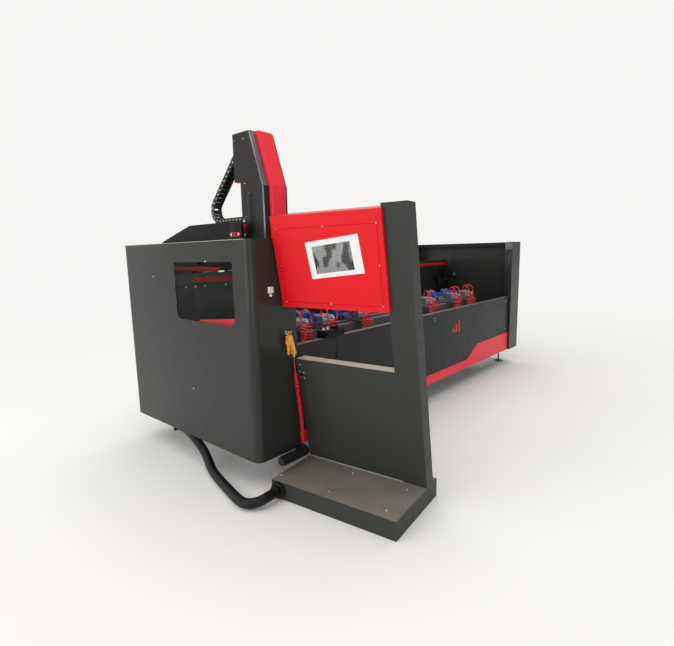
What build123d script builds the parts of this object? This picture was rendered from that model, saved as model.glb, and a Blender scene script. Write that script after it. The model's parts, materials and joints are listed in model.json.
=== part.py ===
"""Machining center for long metal profiles, with its leaning control console.

Millimetres, +Z up. The origin is on the floor, in the middle of the footprint.
X runs along the bed, and the working side with the console faces -Y.
"""

import os
from math import atan2, cos, hypot, radians, sin, sqrt, tan

from build123d import *

os.makedirs("parts", exist_ok=True)

# Overall sizes
machine_length = 4340.0
machine_depth = 1540.0
guard_top = 1540.0
skirt_bottom = 200.0
sheet = 3.0
overrun = 5.0
slip = 0.3
shaft_slip = 0.05

# Console sizes and place
console_turn = 6.8
console_lean = 9.66
console_gap = 52.0
console_inset = 49.0
plinth_length = 838.0
plinth_depth = 529.0
plinth_height = 109.0
panel_setback = 385.0
panel_thickness = 90.0
panel_top = 800.0
post_width = 145.0
post_top = 1687.0
box_bottom = 1139.0
box_top = 1665.0
box_depth = 150.0
tray_depth = 20.0
tray_lap = 12.0
tray_overhang = 19.0
tray_margin = 26.0
tray_raise = 1.5

# Places that follow from the overall sizes
turn = radians(console_turn)
lean = radians(console_lean)
console_reach = console_gap + plinth_length * cos(turn)
front_y = (console_reach - machine_depth) / 2
rear_y = front_y + machine_depth
mid_y = (front_y + rear_y) / 2
left_x = -machine_length / 2
right_x = machine_length / 2


def save(builder, name):
    """Labels a finished piece and writes it to its own file."""
    builder.part.label = name
    export_step(builder.part, f"parts/{name}.step")


def bar(x, y, z, mode=Mode.ADD):
    """A rectangular block that spans the three given ranges."""
    with Locations((sum(x) / 2, sum(y) / 2, sum(z) / 2)):
        Box(x[1] - x[0], y[1] - y[0], z[1] - z[0], mode=mode)


def outline_prism(plane, points, amount, mode=Mode.ADD):
    """A straight prism of a closed outline drawn on a plane."""
    with BuildSketch(plane) as profile:
        with BuildLine():
            Polyline(*points, close=True)
        make_face()
    extrude(profile.sketch, amount=amount, mode=mode)


def disc(plane, place, radius, amount, mode=Mode.ADD):
    """A round boss or bore that starts on a plane."""
    with BuildSketch(plane) as profile:
        with Locations(place):
            Circle(radius)
    extrude(profile.sketch, amount=amount, mode=mode)


def cord_tube(points, diameter):
    """A round tube along straight runs joined by arcs as large as the runs allow."""
    corners = [Vector(*p) for p in points]
    runs = [b - a for a, b in zip(corners, corners[1:])]
    radii = []
    for before, after in zip(runs, runs[1:]):
        half_turn = radians(before.get_angle(after)) / 2
        radii.append(arc_share * min(before.length, after.length) / tan(half_turn))
    with BuildPart() as tube:
        with BuildLine() as path:
            FilletPolyline(*points, radius=radii)
        with BuildSketch(Plane(origin=path.line @ 0, z_dir=path.line % 0)):
            Circle(diameter / 2)
        sweep()
    length = sum(edge.length for edge in path.edges())
    print("cord length", round(length), "least radius", round(min(radii)))
    return tube


arc_share = 0.45

# End guards: folded sheet, open at the top and on the side towards the bed
left_return = 350.0
right_return = 307.0
guard_corner = 50.0
guard_rim = 22.0
guard_flange = 40.0
left_inner = left_x + left_return
right_inner = right_x - right_return


def guard_walls(end_x, inner_x):
    """The bent walls of one end guard, with a folded rim and two inner flanges."""
    middle = ((end_x + inner_x) / 2, mid_y)
    width = abs(inner_x - end_x)
    outer = 0 if end_x < inner_x else -1
    inward = 1 if end_x < inner_x else -1
    with BuildSketch(Plane.XY.offset(skirt_bottom)) as outside:
        with Locations(middle):
            Rectangle(width, machine_depth)
        fillet(outside.vertices().group_by(Axis.X)[outer], guard_corner)
    extrude(outside.sketch, amount=guard_top - skirt_bottom)
    with BuildSketch(Plane.XY.offset(skirt_bottom)) as inside:
        with Locations(middle):
            Rectangle(width - 2 * sheet, machine_depth - 2 * sheet)
        fillet(inside.vertices().group_by(Axis.X)[outer], guard_corner - sheet)
    extrude(inside.sketch, amount=guard_top - skirt_bottom - sheet, mode=Mode.SUBTRACT)
    with BuildSketch(Plane.XY.offset(guard_top - sheet)) as rim_hole:
        with Locations(middle):
            Rectangle(width - 2 * guard_rim, machine_depth - 2 * guard_rim)
        fillet(rim_hole.vertices().group_by(Axis.X)[outer], guard_corner - guard_rim)
    extrude(rim_hole.sketch, amount=sheet, mode=Mode.SUBTRACT)
    open_side = sorted((inner_x - inward * guard_rim, inner_x + inward * overrun))
    bar(
        open_side,
        (front_y + guard_flange, rear_y - guard_flange),
        (skirt_bottom - overrun, guard_top + overrun),
        mode=Mode.SUBTRACT,
    )


# Window in the left guard
window_front = 157.0
window_width = 650.0
window_sill = 1027.0
window_height = 384.0
window_corner = 52.0
window_top_corner = 14.0
pane_lap = 18.0
pane_thickness = 5.0
window_middle = (front_y + window_front + window_width / 2, window_sill + window_height / 2)

with BuildPart() as left_guard:
    guard_walls(left_x, left_inner)
    with BuildSketch(Plane.YZ.offset(left_x)) as window_hole:
        with Locations(window_middle):
            Rectangle(window_width, window_height)
        fillet(window_hole.vertices().group_by(Axis.Y)[0], window_corner)
        fillet(window_hole.vertices().group_by(Axis.Y)[-1], window_top_corner)
    extrude(amount=sheet, mode=Mode.SUBTRACT)
save(left_guard, "left_guard")

with BuildPart() as left_window:
    with BuildSketch(Plane.YZ.offset(left_x + sheet)):
        with Locations(window_middle):
            RectangleRounded(window_width + 2 * pane_lap, window_height + 2 * pane_lap, window_corner)
    extrude(amount=pane_thickness)
save(left_window, "left_window")

with BuildPart() as right_guard:
    guard_walls(right_x, right_inner)
save(right_guard, "right_guard")

# Front and rear panels: folded sheet between the guards
front_recess = 25.0
front_top = 869.0
lip_depth = 50.0
lip_drop = 22.0
rear_panel_top = 1200.0
panel_face = front_y + front_recess


def folded_panel(face_y, inward, top):
    """Side outline of a panel with a lip folded over at its top and bottom."""
    skin = face_y + inward * sheet
    edge = face_y + inward * lip_depth
    hem = edge - inward * sheet
    return [
        (face_y, skirt_bottom),
        (face_y, top),
        (edge, top),
        (edge, top - lip_drop),
        (hem, top - lip_drop),
        (hem, top - sheet),
        (skin, top - sheet),
        (skin, skirt_bottom + sheet),
        (edge, skirt_bottom + sheet),
        (edge, skirt_bottom),
    ]


with BuildPart() as front_panel:
    outline_prism(
        Plane.YZ.offset(left_inner), folded_panel(panel_face, 1, front_top), right_inner - left_inner
    )
save(front_panel, "front_panel")

with BuildPart() as rear_panel:
    outline_prism(
        Plane.YZ.offset(left_inner), folded_panel(rear_y, -1, rear_panel_top), right_inner - left_inner
    )
save(rear_panel, "rear_panel")

# Red skirt band, low along most of the front and stepped up at the right end
band_thickness = 2.0
band_low_top = 290.0
band_high_top = 420.0
band_step_start = 2887.0
band_step_length = 243.0
with BuildPart() as front_band:
    outline_prism(
        Plane.XZ.offset(-panel_face),
        [
            (left_inner, skirt_bottom),
            (right_inner, skirt_bottom),
            (right_inner, band_high_top),
            (left_x + band_step_start + band_step_length, band_high_top),
            (left_x + band_step_start, band_low_top),
            (left_inner, band_low_top),
        ],
        band_thickness,
    )
save(front_band, "front_band")

# Clamp table: a hollow beam on short posts
table_left_inset = 420.0
table_right_inset = 690.0
table_setback = 280.0
table_width = 240.0
table_top = 880.0
table_height = 260.0
table_wall = 10.0
hose_rail_reach = 130.0
hose_rail_top = 690.0
hose_rail_thickness = 15.0
table_left = left_x + table_left_inset
table_right = right_x - table_right_inset
table_front = front_y + table_setback
table_rear = table_front + table_width
table_middle_x = (table_left + table_right) / 2

# Welded bed: two long tubes, end tubes and cross tubes under the table posts
tube_width = 120.0
tube_height = 200.0
frame_bottom = 190.0
frame_end_inset = 90.0
frame_side_inset = 130.0
station_count = 5
station_inset = 95.0
lug_width = 80.0
lug_reach = 130.0
lug_thickness = 10.0
lug_lift = 50.0
guard_lug_pitch = 800.0
station_pitch = (table_right - table_left - 2 * station_inset) / (station_count - 1)
frame_top = frame_bottom + tube_height
frame_length = machine_length - 2 * frame_end_inset
frame_depth = machine_depth - 2 * frame_side_inset
with BuildPart() as bed_frame:
    with BuildSketch(Plane.XY.offset(frame_bottom)):
        with Locations((0, mid_y)):
            Rectangle(frame_length, frame_depth)
            Rectangle(frame_length - 2 * tube_width, frame_depth - 2 * tube_width, mode=Mode.SUBTRACT)
        with Locations((table_middle_x, mid_y)):
            with GridLocations(station_pitch, 0, station_count, 1):
                Rectangle(tube_width, frame_depth)
    extrude(amount=tube_height)
    with BuildSketch(Plane.XY.offset(frame_top)):
        with Locations((table_middle_x, table_front + table_width / 2)):
            with GridLocations(station_pitch, 0, station_count, 1):
                Rectangle(tube_width, tube_width)
    extrude(amount=table_top - table_height - frame_top)
    for lug_y in (panel_face + sheet, rear_y - sheet - lug_reach):
        with BuildSketch(Plane.XY.offset(frame_bottom + lug_lift)):
            with Locations((table_middle_x, lug_y + lug_reach / 2)):
                with GridLocations(station_pitch, 0, station_count, 1):
                    Rectangle(lug_width, lug_reach)
        extrude(amount=lug_thickness)
    for lug_x in (left_x + sheet, right_x - sheet - lug_reach):
        with BuildSketch(Plane.XY.offset(frame_bottom + lug_lift)):
            with Locations((lug_x + lug_reach / 2, mid_y)):
                with GridLocations(0, guard_lug_pitch, 1, 2):
                    Rectangle(lug_reach, lug_width)
        extrude(amount=lug_thickness)
save(bed_frame, "bed_frame")

with BuildPart() as table_beam:
    with BuildSketch(Plane.YZ.offset(table_left)):
        with Locations((table_front + table_width / 2, table_top - table_height / 2)):
            Rectangle(table_width, table_height)
            Rectangle(table_width - 2 * table_wall, table_height - 2 * table_wall, mode=Mode.SUBTRACT)
        with Locations((table_front, hose_rail_top)):
            Rectangle(hose_rail_reach, hose_rail_thickness, align=(Align.MAX, Align.MAX))
    extrude(amount=table_right - table_left)
save(table_beam, "table_beam")

# Levelling feet: a pad, a stud and a lock nut under the long tubes
foot_pad_radius = 55.0
foot_pad_edge = 12.0
foot_pad_height = 26.0
foot_neck_radius = 22.0
foot_stud_radius = 12.0
foot_nut_radius = 20.0
foot_nut_height = 20.0
foot_nut_sides = 6
foot_left_inset = 700.0
foot_right_inset = 150.0
foot_side_inset = frame_side_inset + tube_width / 2
foot_xs = (left_x + foot_left_inset, 0, right_x - foot_right_inset)
foot_ys = (front_y + foot_side_inset, rear_y - foot_side_inset)
foot_places = [(foot_x, foot_y) for foot_x in foot_xs for foot_y in foot_ys]
with BuildPart() as levelling_feet:
    with Locations(foot_places):
        Cylinder(foot_pad_radius, foot_pad_edge, align=(Align.CENTER, Align.CENTER, Align.MIN))
    with Locations([(foot_x, foot_y, foot_pad_edge) for foot_x, foot_y in foot_places]):
        Cone(
            foot_pad_radius,
            foot_neck_radius,
            foot_pad_height - foot_pad_edge,
            align=(Align.CENTER, Align.CENTER, Align.MIN),
        )
    for foot_place in foot_places:
        disc(Plane.XY.offset(foot_pad_height), foot_place, foot_stud_radius, frame_bottom - foot_pad_height)
    with BuildSketch(Plane.XY.offset(frame_bottom - foot_nut_height)):
        with Locations(foot_places):
            RegularPolygon(foot_nut_radius, foot_nut_sides)
    extrude(amount=foot_nut_height)
save(levelling_feet, "levelling_feet")

# Rear beam that carries the travelling column, with its chip cover and rails
beam_rear_inset = 537.0
beam_depth = 397.0
beam_top = 1240.0
beam_wall = 12.0
beam_end_inset = 60.0
cover_top = 1320.0
cover_fold = 22.0
cover_bottom = 420.0
x_rail_width = 28.0
x_rail_height = 25.0
x_rail_inset = 67.0
beam_front = rear_y - beam_rear_inset
beam_left = left_x + beam_end_inset
beam_right = right_x - beam_end_inset
beam_middle_y = beam_front + beam_depth / 2
x_rail_pitch = beam_depth - 2 * x_rail_inset
with BuildPart() as x_beam:
    with BuildSketch(Plane.YZ.offset(beam_left)):
        with Locations((beam_middle_y, (frame_top + beam_top) / 2)):
            Rectangle(beam_depth, beam_top - frame_top)
            Rectangle(
                beam_depth - 2 * beam_wall, beam_top - frame_top - 2 * beam_wall, mode=Mode.SUBTRACT
            )
    extrude(amount=beam_right - beam_left)
save(x_beam, "x_beam")

with BuildPart() as beam_cover:
    outline_prism(
        Plane.YZ.offset(beam_left),
        [
            (beam_front, cover_bottom),
            (beam_front - sheet, cover_bottom),
            (beam_front - sheet, cover_top),
            (beam_front - sheet + cover_fold, cover_top),
            (beam_front - sheet + cover_fold, cover_top - sheet),
            (beam_front, cover_top - sheet),
        ],
        beam_right - beam_left,
    )
save(beam_cover, "beam_cover")


def rail_outline(width, height, waist):
    """Guide rail section with a groove in each side, as a centred outline from its foot up."""
    half = width / 2
    return [
        (-half, 0),
        (half, 0),
        (half, height / 3),
        (half - waist, height / 2),
        (half, 2 * height / 3),
        (half, height),
        (-half, height),
        (-half, 2 * height / 3),
        (waist - half, height / 2),
        (-half, height / 3),
    ]


x_rail_waist = 4.0
with BuildSketch() as x_rail_section:
    with BuildLine():
        Polyline(*rail_outline(x_rail_width, x_rail_height, x_rail_waist), close=True)
    make_face()
with BuildPart() as x_rails:
    with BuildSketch(Plane.YZ.offset(beam_left)):
        with Locations((beam_middle_y, beam_top)):
            with GridLocations(x_rail_pitch, 0, 2, 1):
                add(x_rail_section.sketch)
    extrude(amount=beam_right - beam_left)
save(x_rails, "x_rails")

# Travelling saddle on the rear beam
column_inset = 400.0
column_width = 225.0
housing_inset = 300.0
housing_width = 450.0
saddle_setback = 37.0
saddle_depth = 400.0
saddle_bottom = 1330.0
saddle_thickness = 40.0
guide_width = 200.0
guide_reach = 440.0
guide_top = 1460.0
guide_nose_height = 50.0
guide_knee_drop = 30.0
x_block_length = 80.0
x_block_width = 60.0
x_block_pitch = 250.0
column_left = left_x + column_inset
column_x = column_left + column_width / 2
housing_left = left_x + housing_inset
housing_right = housing_left + housing_width
saddle_front = beam_front + saddle_setback
saddle_rear = saddle_front + saddle_depth
guide_front = saddle_front - guide_reach
saddle_top = saddle_bottom + saddle_thickness
housing_x = (housing_left + housing_right) / 2
with BuildPart() as x_saddle:
    bar(
        (housing_left + sheet, housing_right - sheet),
        (saddle_front, saddle_rear),
        (saddle_bottom, saddle_top),
    )
    outline_prism(
        Plane.YZ.offset(column_x - guide_width / 2),
        [
            (guide_front, guide_top),
            (saddle_rear, guide_top),
            (saddle_rear, saddle_top),
            (saddle_front, saddle_top),
            (saddle_front, saddle_top - guide_knee_drop),
            (guide_front, guide_top - guide_nose_height),
        ],
        guide_width,
    )
save(x_saddle, "x_saddle")

with BuildPart() as x_blocks:
    block_bottom = beam_top + slip + x_rail_waist
    with BuildSketch(Plane.XY.offset(block_bottom)):
        with Locations((housing_x, beam_middle_y)):
            with GridLocations(x_block_pitch, x_rail_pitch, 2, 2):
                Rectangle(x_block_length, x_block_width)
    extrude(amount=saddle_bottom - block_bottom)
    with BuildSketch(Plane.XY.offset(block_bottom)):
        with Locations((housing_x, beam_middle_y)):
            with GridLocations(0, x_rail_pitch, 1, 2):
                Rectangle(housing_right - housing_left, x_rail_width + 2 * slip)
    extrude(amount=beam_top + x_rail_height + slip - block_bottom, mode=Mode.SUBTRACT)
save(x_blocks, "x_blocks")

# Drive motor of the long axis, standing on the saddle beside the guide
motor_side = 90.0
motor_height = 150.0
motor_corner = 12.0
motor_cap_side = 70.0
motor_cap_height = 22.0
motor_inset = 25.0
motor_x = housing_right - sheet - motor_side / 2 - motor_inset
motor_y = saddle_front + saddle_depth / 3
with BuildPart() as x_motor:
    with BuildSketch(Plane.XY.offset(saddle_top)):
        with Locations((motor_x, motor_y)):
            RectangleRounded(motor_side, motor_side, motor_corner)
    extrude(amount=motor_height)
    with BuildSketch(Plane.XY.offset(saddle_top + motor_height)):
        with Locations((motor_x, motor_y)):
            RectangleRounded(motor_cap_side, motor_cap_side, motor_corner)
    extrude(amount=motor_cap_height)
save(x_motor, "x_motor")

# Hood over the cross slide, sloping down to the rear
hood_overhang = 30.0
hood_flat = 500.0
hood_tail = 50.0
hood_top = 1675.0
hood_rear_top = 1565.0
hood_front_bottom = 1480.0
hood_skirt = 1338.0
hood_skirt_lap = 40.0
ram_width = 140.0
ram_bottom = 1500.0
ram_height = 100.0
ram_gap = 10.0
chain_aside = 42.5
chain_half = 20.0
chain_flat = 295.0
chain_lift = 3.0
tray_half = 45.0
hood_front = guide_front - hood_overhang
hood_knee = hood_front + hood_flat
hood_rear = saddle_rear + hood_tail
hood_skirt_front = saddle_front - hood_skirt_lap
chain_x = column_x - chain_aside
ram_top = ram_bottom + ram_height
hood_outline = [
    (hood_front, hood_front_bottom),
    (hood_front, hood_top),
    (hood_knee, hood_top),
    (hood_rear, hood_rear_top),
    (hood_rear, hood_skirt),
    (hood_skirt_front, hood_skirt),
    (hood_skirt_front, hood_front_bottom),
]
hood_hollow = [
    (hood_front + sheet, hood_skirt - overrun),
    (hood_front + sheet, hood_top - sheet),
    (hood_knee - sheet, hood_top - sheet),
    (hood_rear - sheet, hood_rear_top - sheet),
    (hood_rear - sheet, hood_skirt - overrun),
]
with BuildPart() as y_housing:
    outline_prism(Plane.YZ.offset(housing_left), hood_outline, housing_right - housing_left)
    outline_prism(
        Plane.YZ.offset(housing_left + sheet),
        hood_hollow,
        housing_right - housing_left - 2 * sheet,
        mode=Mode.SUBTRACT,
    )
    bar(
        (chain_x - tray_half, chain_x + tray_half),
        (hood_front, hood_front + chain_flat - 2 * chain_half),
        (hood_top, hood_top + chain_lift),
    )
    bar(
        (column_x - ram_width / 2 - ram_gap, column_x + ram_width / 2 + ram_gap),
        (hood_front - overrun, hood_front + sheet + overrun),
        (hood_front_bottom - overrun, ram_top + ram_gap),
        mode=Mode.SUBTRACT,
    )
save(y_housing, "y_housing")

# Cross rails on the guide, and the ram with the column's upright plate
y_rail_width = 22.0
y_rail_height = 24.0
y_rail_waist = 3.0
y_rail_pitch = 140.0
y_block_length = 80.0
y_block_width = 52.0
y_block_reach = 170.0
y_block_spacing = 300.0
ram_tail = 390.0
ram_plate = 16.0
upright_gap = 38.0
upright_thickness = 20.0
upright_bottom = 1445.0
upright_drop = 30.0
column_bottom = 1440.0
column_height = 825.0
column_top = column_bottom + column_height
upright_top = column_top - upright_drop
y_block_front = saddle_front - y_block_reach
ram_rear = y_block_front + ram_tail
upright_front = hood_front - upright_gap
with BuildSketch() as y_rail_section:
    with BuildLine():
        Polyline(*rail_outline(y_rail_width, y_rail_height, y_rail_waist), close=True)
    make_face()
with BuildPart() as y_rails:
    with BuildSketch(Plane.XZ.offset(-saddle_rear)):
        with Locations((column_x, guide_top)):
            with GridLocations(y_rail_pitch, 0, 2, 1):
                add(y_rail_section.sketch)
    extrude(amount=saddle_rear - guide_front)
save(y_rails, "y_rails")

with BuildPart() as y_ram:
    bar(
        (column_x - ram_width / 2, column_x + ram_width / 2),
        (upright_front + upright_thickness, ram_rear),
        (ram_bottom, ram_top),
    )
    bar(
        (column_x - guide_width / 2, column_x + guide_width / 2),
        (y_block_front, ram_rear),
        (ram_bottom, ram_bottom + ram_plate),
    )
    bar(
        (column_left + sheet, column_left + column_width - sheet),
        (upright_front, upright_front + upright_thickness),
        (upright_bottom, upright_top),
    )
    y_block_bottom = guide_top + slip + y_rail_waist
    with BuildSketch(Plane.XY.offset(y_block_bottom)):
        with Locations((column_x, y_block_front + (y_block_length + y_block_spacing) / 2)):
            with GridLocations(y_rail_pitch, y_block_spacing, 2, 2):
                Rectangle(y_block_width, y_block_length)
    extrude(amount=ram_bottom - y_block_bottom)
    with BuildSketch(Plane.XY.offset(y_block_bottom)):
        with Locations((column_x, (guide_front + ram_rear) / 2)):
            with GridLocations(y_rail_pitch, 0, 2, 1):
                Rectangle(y_rail_width + 2 * slip, ram_rear - guide_front)
    extrude(amount=guide_top + y_rail_height + slip - y_block_bottom, mode=Mode.SUBTRACT)
save(y_ram, "y_ram")

# Sheet shell of the column, sloped in front and stepped behind
column_reach = 210.0
column_slope_rise = 366.0
column_slope_run = 119.0
column_box_depth = 65.0
column_box_height = 317.0
column_bevel = 12.0
louvre_count = 12
louvre_length = 40.0
louvre_width = 8.0
louvre_pitch = 22.0
louvre_setback = 128.0
louvre_bottom = 1610.0
louvre_angle = 45.0
column_knee = column_top - column_slope_rise
column_box_bottom = column_top - column_box_height
column_front = upright_front - column_reach
column_rear = upright_front + upright_thickness + sheet
column_box_rear = column_rear + column_box_depth
louvre_y = column_front + louvre_setback
slope_angle = atan2(column_slope_run, column_top - column_knee)


def column_body(left, right, wall):
    """The column's closed form, drawn inwards by a wall, with bevelled front corners."""
    slope_y = column_front + column_slope_run
    with BuildPart() as body:
        with BuildSketch(Plane.YZ.offset(left)) as profile:
            with BuildLine():
                Polyline(
                    (column_front, column_bottom),
                    (column_front, column_knee),
                    (slope_y, column_top),
                    (column_box_rear, column_top),
                    (column_box_rear, column_box_bottom),
                    (column_rear, column_box_bottom),
                    (column_rear, column_bottom),
                    close=True,
                )
            make_face()
            if wall:
                offset(amount=-wall, kind=Kind.INTERSECTION)
        extrude(amount=right - left)
        front_edges = body.edges().filter_by(Axis.X, reverse=True)
        side_edges = [e for e in front_edges if e.center().Y < slope_y - column_bevel]
        side_edges = [e for e in side_edges if abs(e.tangent_at(0).Y) < abs(e.tangent_at(0).Z)]
        chamfer(side_edges, column_bevel)
    return body.part


column_outside = column_body(column_left, column_left + column_width, 0)
column_inside = column_body(column_left + sheet, column_left + column_width - sheet, sheet)
with BuildPart() as column_shell:
    add(column_outside)
    add(column_inside, mode=Mode.SUBTRACT)
    inner_x = (column_left + sheet, column_left + column_width - sheet)
    bar(
        (inner_x[0] + column_bevel, inner_x[1] - column_bevel),
        (column_front + sheet, column_rear + overrun),
        (column_bottom - overrun, column_bottom + sheet),
        mode=Mode.SUBTRACT,
    )
    bar(
        inner_x,
        (column_front + sheet + column_bevel, column_rear + overrun),
        (column_bottom - overrun, column_bottom + sheet),
        mode=Mode.SUBTRACT,
    )
    bar(
        inner_x,
        (column_rear - sheet - overrun, column_rear + overrun),
        (column_bottom - overrun, column_box_bottom - overrun),
        mode=Mode.SUBTRACT,
    )
    with BuildSketch(Plane.YZ.offset(column_left)):
        with Locations((louvre_y, louvre_bottom + louvre_pitch * (louvre_count - 1) / 2)):
            with GridLocations(0, louvre_pitch, 1, louvre_count):
                Rectangle(louvre_length, louvre_width, rotation=louvre_angle)
    extrude(amount=column_width, mode=Mode.SUBTRACT)
save(column_shell, "column_shell")

# Raised cover strip that follows the column's front
strip_width = 122.0
strip_proud = 31.0
strip_lift = 10.0
strip_bottom = column_bottom + strip_lift
strip_edge = 6.0
with BuildPart() as column_cover:
    slope_y = column_front + column_slope_run
    outline_prism(
        Plane.YZ.offset(column_x - strip_width / 2),
        [
            (column_front, strip_bottom),
            (column_front - strip_proud, strip_bottom),
            (column_front - strip_proud, column_knee + strip_proud * tan(slope_angle / 2)),
            (slope_y - strip_proud / cos(slope_angle), column_top),
            (slope_y, column_top),
            (column_front, column_knee),
        ],
        strip_width,
    )
    strip_front = column_cover.faces().filter_by(Axis.X, reverse=True).sort_by(Axis.Y)[:2]
    fillet([e for f in strip_front for e in f.edges().filter_by(Axis.X, reverse=True)], strip_edge)
save(column_cover, "column_cover")

# Vertical rails on the upright, and the spindle slide that hangs on them
z_rail_width = 20.0
z_rail_depth = 20.0
z_rail_pitch = 110.0
z_rail_end = 10.0
head_width = 160.0
head_reach = 54.0
head_thickness = 20.0
head_bottom = 1330.0
head_drop = 245.0
z_block_width = 44.0
z_block_length = 80.0
z_block_gap = 2.5
z_block_drop = 50.0
z_block_spacing = 130.0
z_rail_bottom = upright_bottom + z_rail_end
z_rail_top = upright_top - z_rail_end
head_top = column_top - head_drop
head_front = upright_front - head_reach
z_block_centres = (head_top - z_block_drop - z_block_spacing, head_top - z_block_drop)
with BuildPart() as z_rails:
    for side in (-1, 1):
        rail_x = column_x + side * z_rail_pitch / 2
        bar(
            (rail_x - z_rail_width / 2, rail_x + z_rail_width / 2),
            (upright_front - z_rail_depth, upright_front),
            (z_rail_bottom, z_rail_top),
        )
save(z_rails, "z_rails")

with BuildPart() as spindle_slide:
    bar(
        (column_x - head_width / 2, column_x + head_width / 2),
        (head_front, head_front + head_thickness),
        (head_bottom, head_top),
    )
    for side in (-1, 1):
        rail_x = column_x + side * z_rail_pitch / 2
        for block_z in z_block_centres:
            bar(
                (rail_x - z_block_width / 2, rail_x + z_block_width / 2),
                (head_front + head_thickness, upright_front - z_block_gap),
                (block_z - z_block_length / 2, block_z + z_block_length / 2),
            )
        bar(
            (rail_x - z_rail_width / 2 - slip, rail_x + z_rail_width / 2 + slip),
            (upright_front - z_rail_depth - slip, upright_front),
            (head_bottom, head_top),
            mode=Mode.SUBTRACT,
        )
save(spindle_slide, "spindle_slide")

# Spindle motor with cooling fins, its nose, and the turning nose with nut and cutter
spindle_side = 124.0
spindle_corner = 18.0
spindle_top = 1700.0
fin_count = 5
fin_depth = 5.0
fin_width = 8.0
nose_radius = 50.0
nose_bottom = 1300.0
rotor_radius = 20.0
rotor_seat = 36.0
nut_radius = 29.0
nut_height = 36.0
nut_gap = 3.0
nut_notches = 6
nut_notch = 5.0
cutter_radius = 6.0
cutter_length = 72.0
spindle_y = head_front - spindle_side / 2
spindle_place = (column_x, spindle_y)
with BuildPart() as spindle_motor:
    with BuildSketch(Plane.XY.offset(head_bottom)):
        with Locations(spindle_place):
            RectangleRounded(spindle_side, spindle_side, spindle_corner)
        fin_pitch = (spindle_side - 2 * spindle_corner) / (fin_count - 1)
        for side in (-1, 1):
            with Locations((column_x + side * spindle_side / 2, spindle_y)):
                with GridLocations(0, fin_pitch, 1, fin_count):
                    Rectangle(2 * fin_depth, fin_width, mode=Mode.SUBTRACT)
    extrude(amount=spindle_top - head_bottom)
    disc(Plane.XY.offset(nose_bottom), spindle_place, nose_radius, head_bottom - nose_bottom)
    disc(
        Plane.XY.offset(nose_bottom),
        spindle_place,
        rotor_radius + shaft_slip,
        rotor_seat + slip,
        mode=Mode.SUBTRACT,
    )
save(spindle_motor, "spindle_motor")

with BuildPart() as spindle_nose:
    nut_top = nose_bottom - nut_gap
    disc(Plane.XY.offset(nut_top), spindle_place, rotor_radius, nut_gap + rotor_seat)
    with BuildSketch(Plane.XY.offset(nut_top - nut_height)):
        with Locations(spindle_place):
            Circle(nut_radius)
            with PolarLocations(nut_radius, nut_notches):
                Circle(nut_notch, mode=Mode.SUBTRACT)
    extrude(amount=nut_height)
    disc(Plane.XY.offset(nut_top - nut_height - cutter_length), spindle_place, cutter_radius, cutter_length)
save(spindle_nose, "spindle_nose")

# Energy chain from the hood's top, round its bend and up to the column's back
chain_width = 70.0
chain_taper = 5.0
chain_gap = 0.5
chain_wall = 6.0
chain_bend = 85.0
chain_start = 5.0
chain_count = 23
chain_end_drop = 116.0
chain_end_gap = 15.0
chain_front = hood_front + chain_start
chain_z = hood_top + chain_lift + chain_half + slip
bend_y = chain_front + chain_flat
bend_z = chain_z + chain_bend
end_y = column_box_rear + chain_end_gap
end_z = column_top - chain_end_drop
rise_length = sqrt(hypot(end_y - bend_y, end_z - bend_z) ** 2 - chain_bend**2)
chain_rise = atan2(end_z - bend_z, end_y - bend_y) + atan2(chain_bend, rise_length)
bend_length = chain_bend * chain_rise
chain_pitch = (chain_flat + bend_length + rise_length) / chain_count


def chain_place(s):
    """Point and heading on the chain's middle line, a length s from its fixed end."""
    if s < chain_flat:
        return chain_front + s, chain_z, 0
    heading = min((s - chain_flat) / chain_bend, chain_rise)
    rest = max(s - chain_flat - bend_length, 0)
    y = bend_y + chain_bend * sin(heading) + rest * cos(heading)
    z = bend_z - chain_bend * cos(heading) + rest * sin(heading)
    return y, z, heading


straight_half = (chain_pitch - chain_gap) / 2
bend_half = chain_bend * tan(chain_pitch / chain_bend / 2) - chain_gap / 2
with BuildPart() as energy_chain:
    for link in range(chain_count):
        link_y, link_z, heading = chain_place((link + 1 / 2) * chain_pitch)
        link_half = bend_half if 0 < heading < chain_rise else straight_half
        along = Vector(0, cos(heading), sin(heading))
        link_plane = Plane(
            origin=(chain_x - chain_width / 2, link_y, link_z), x_dir=along, z_dir=(1, 0, 0)
        )
        outline_prism(
            link_plane,
            [
                (-link_half, -chain_half),
                (link_half, -chain_half),
                (link_half, 0),
                (link_half - chain_taper, chain_half),
                (chain_taper - link_half, chain_half),
                (-link_half, 0),
            ],
            chain_width,
        )
        tunnel = Plane(origin=(chain_x, link_y, link_z), x_dir=(1, 0, 0), z_dir=along)
        with BuildSketch(tunnel) as bore:
            Rectangle(chain_width - 2 * chain_wall, 2 * (chain_half - chain_wall))
        extrude(bore.sketch, amount=chain_pitch, both=True, mode=Mode.SUBTRACT)
save(energy_chain, "energy_chain")

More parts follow.
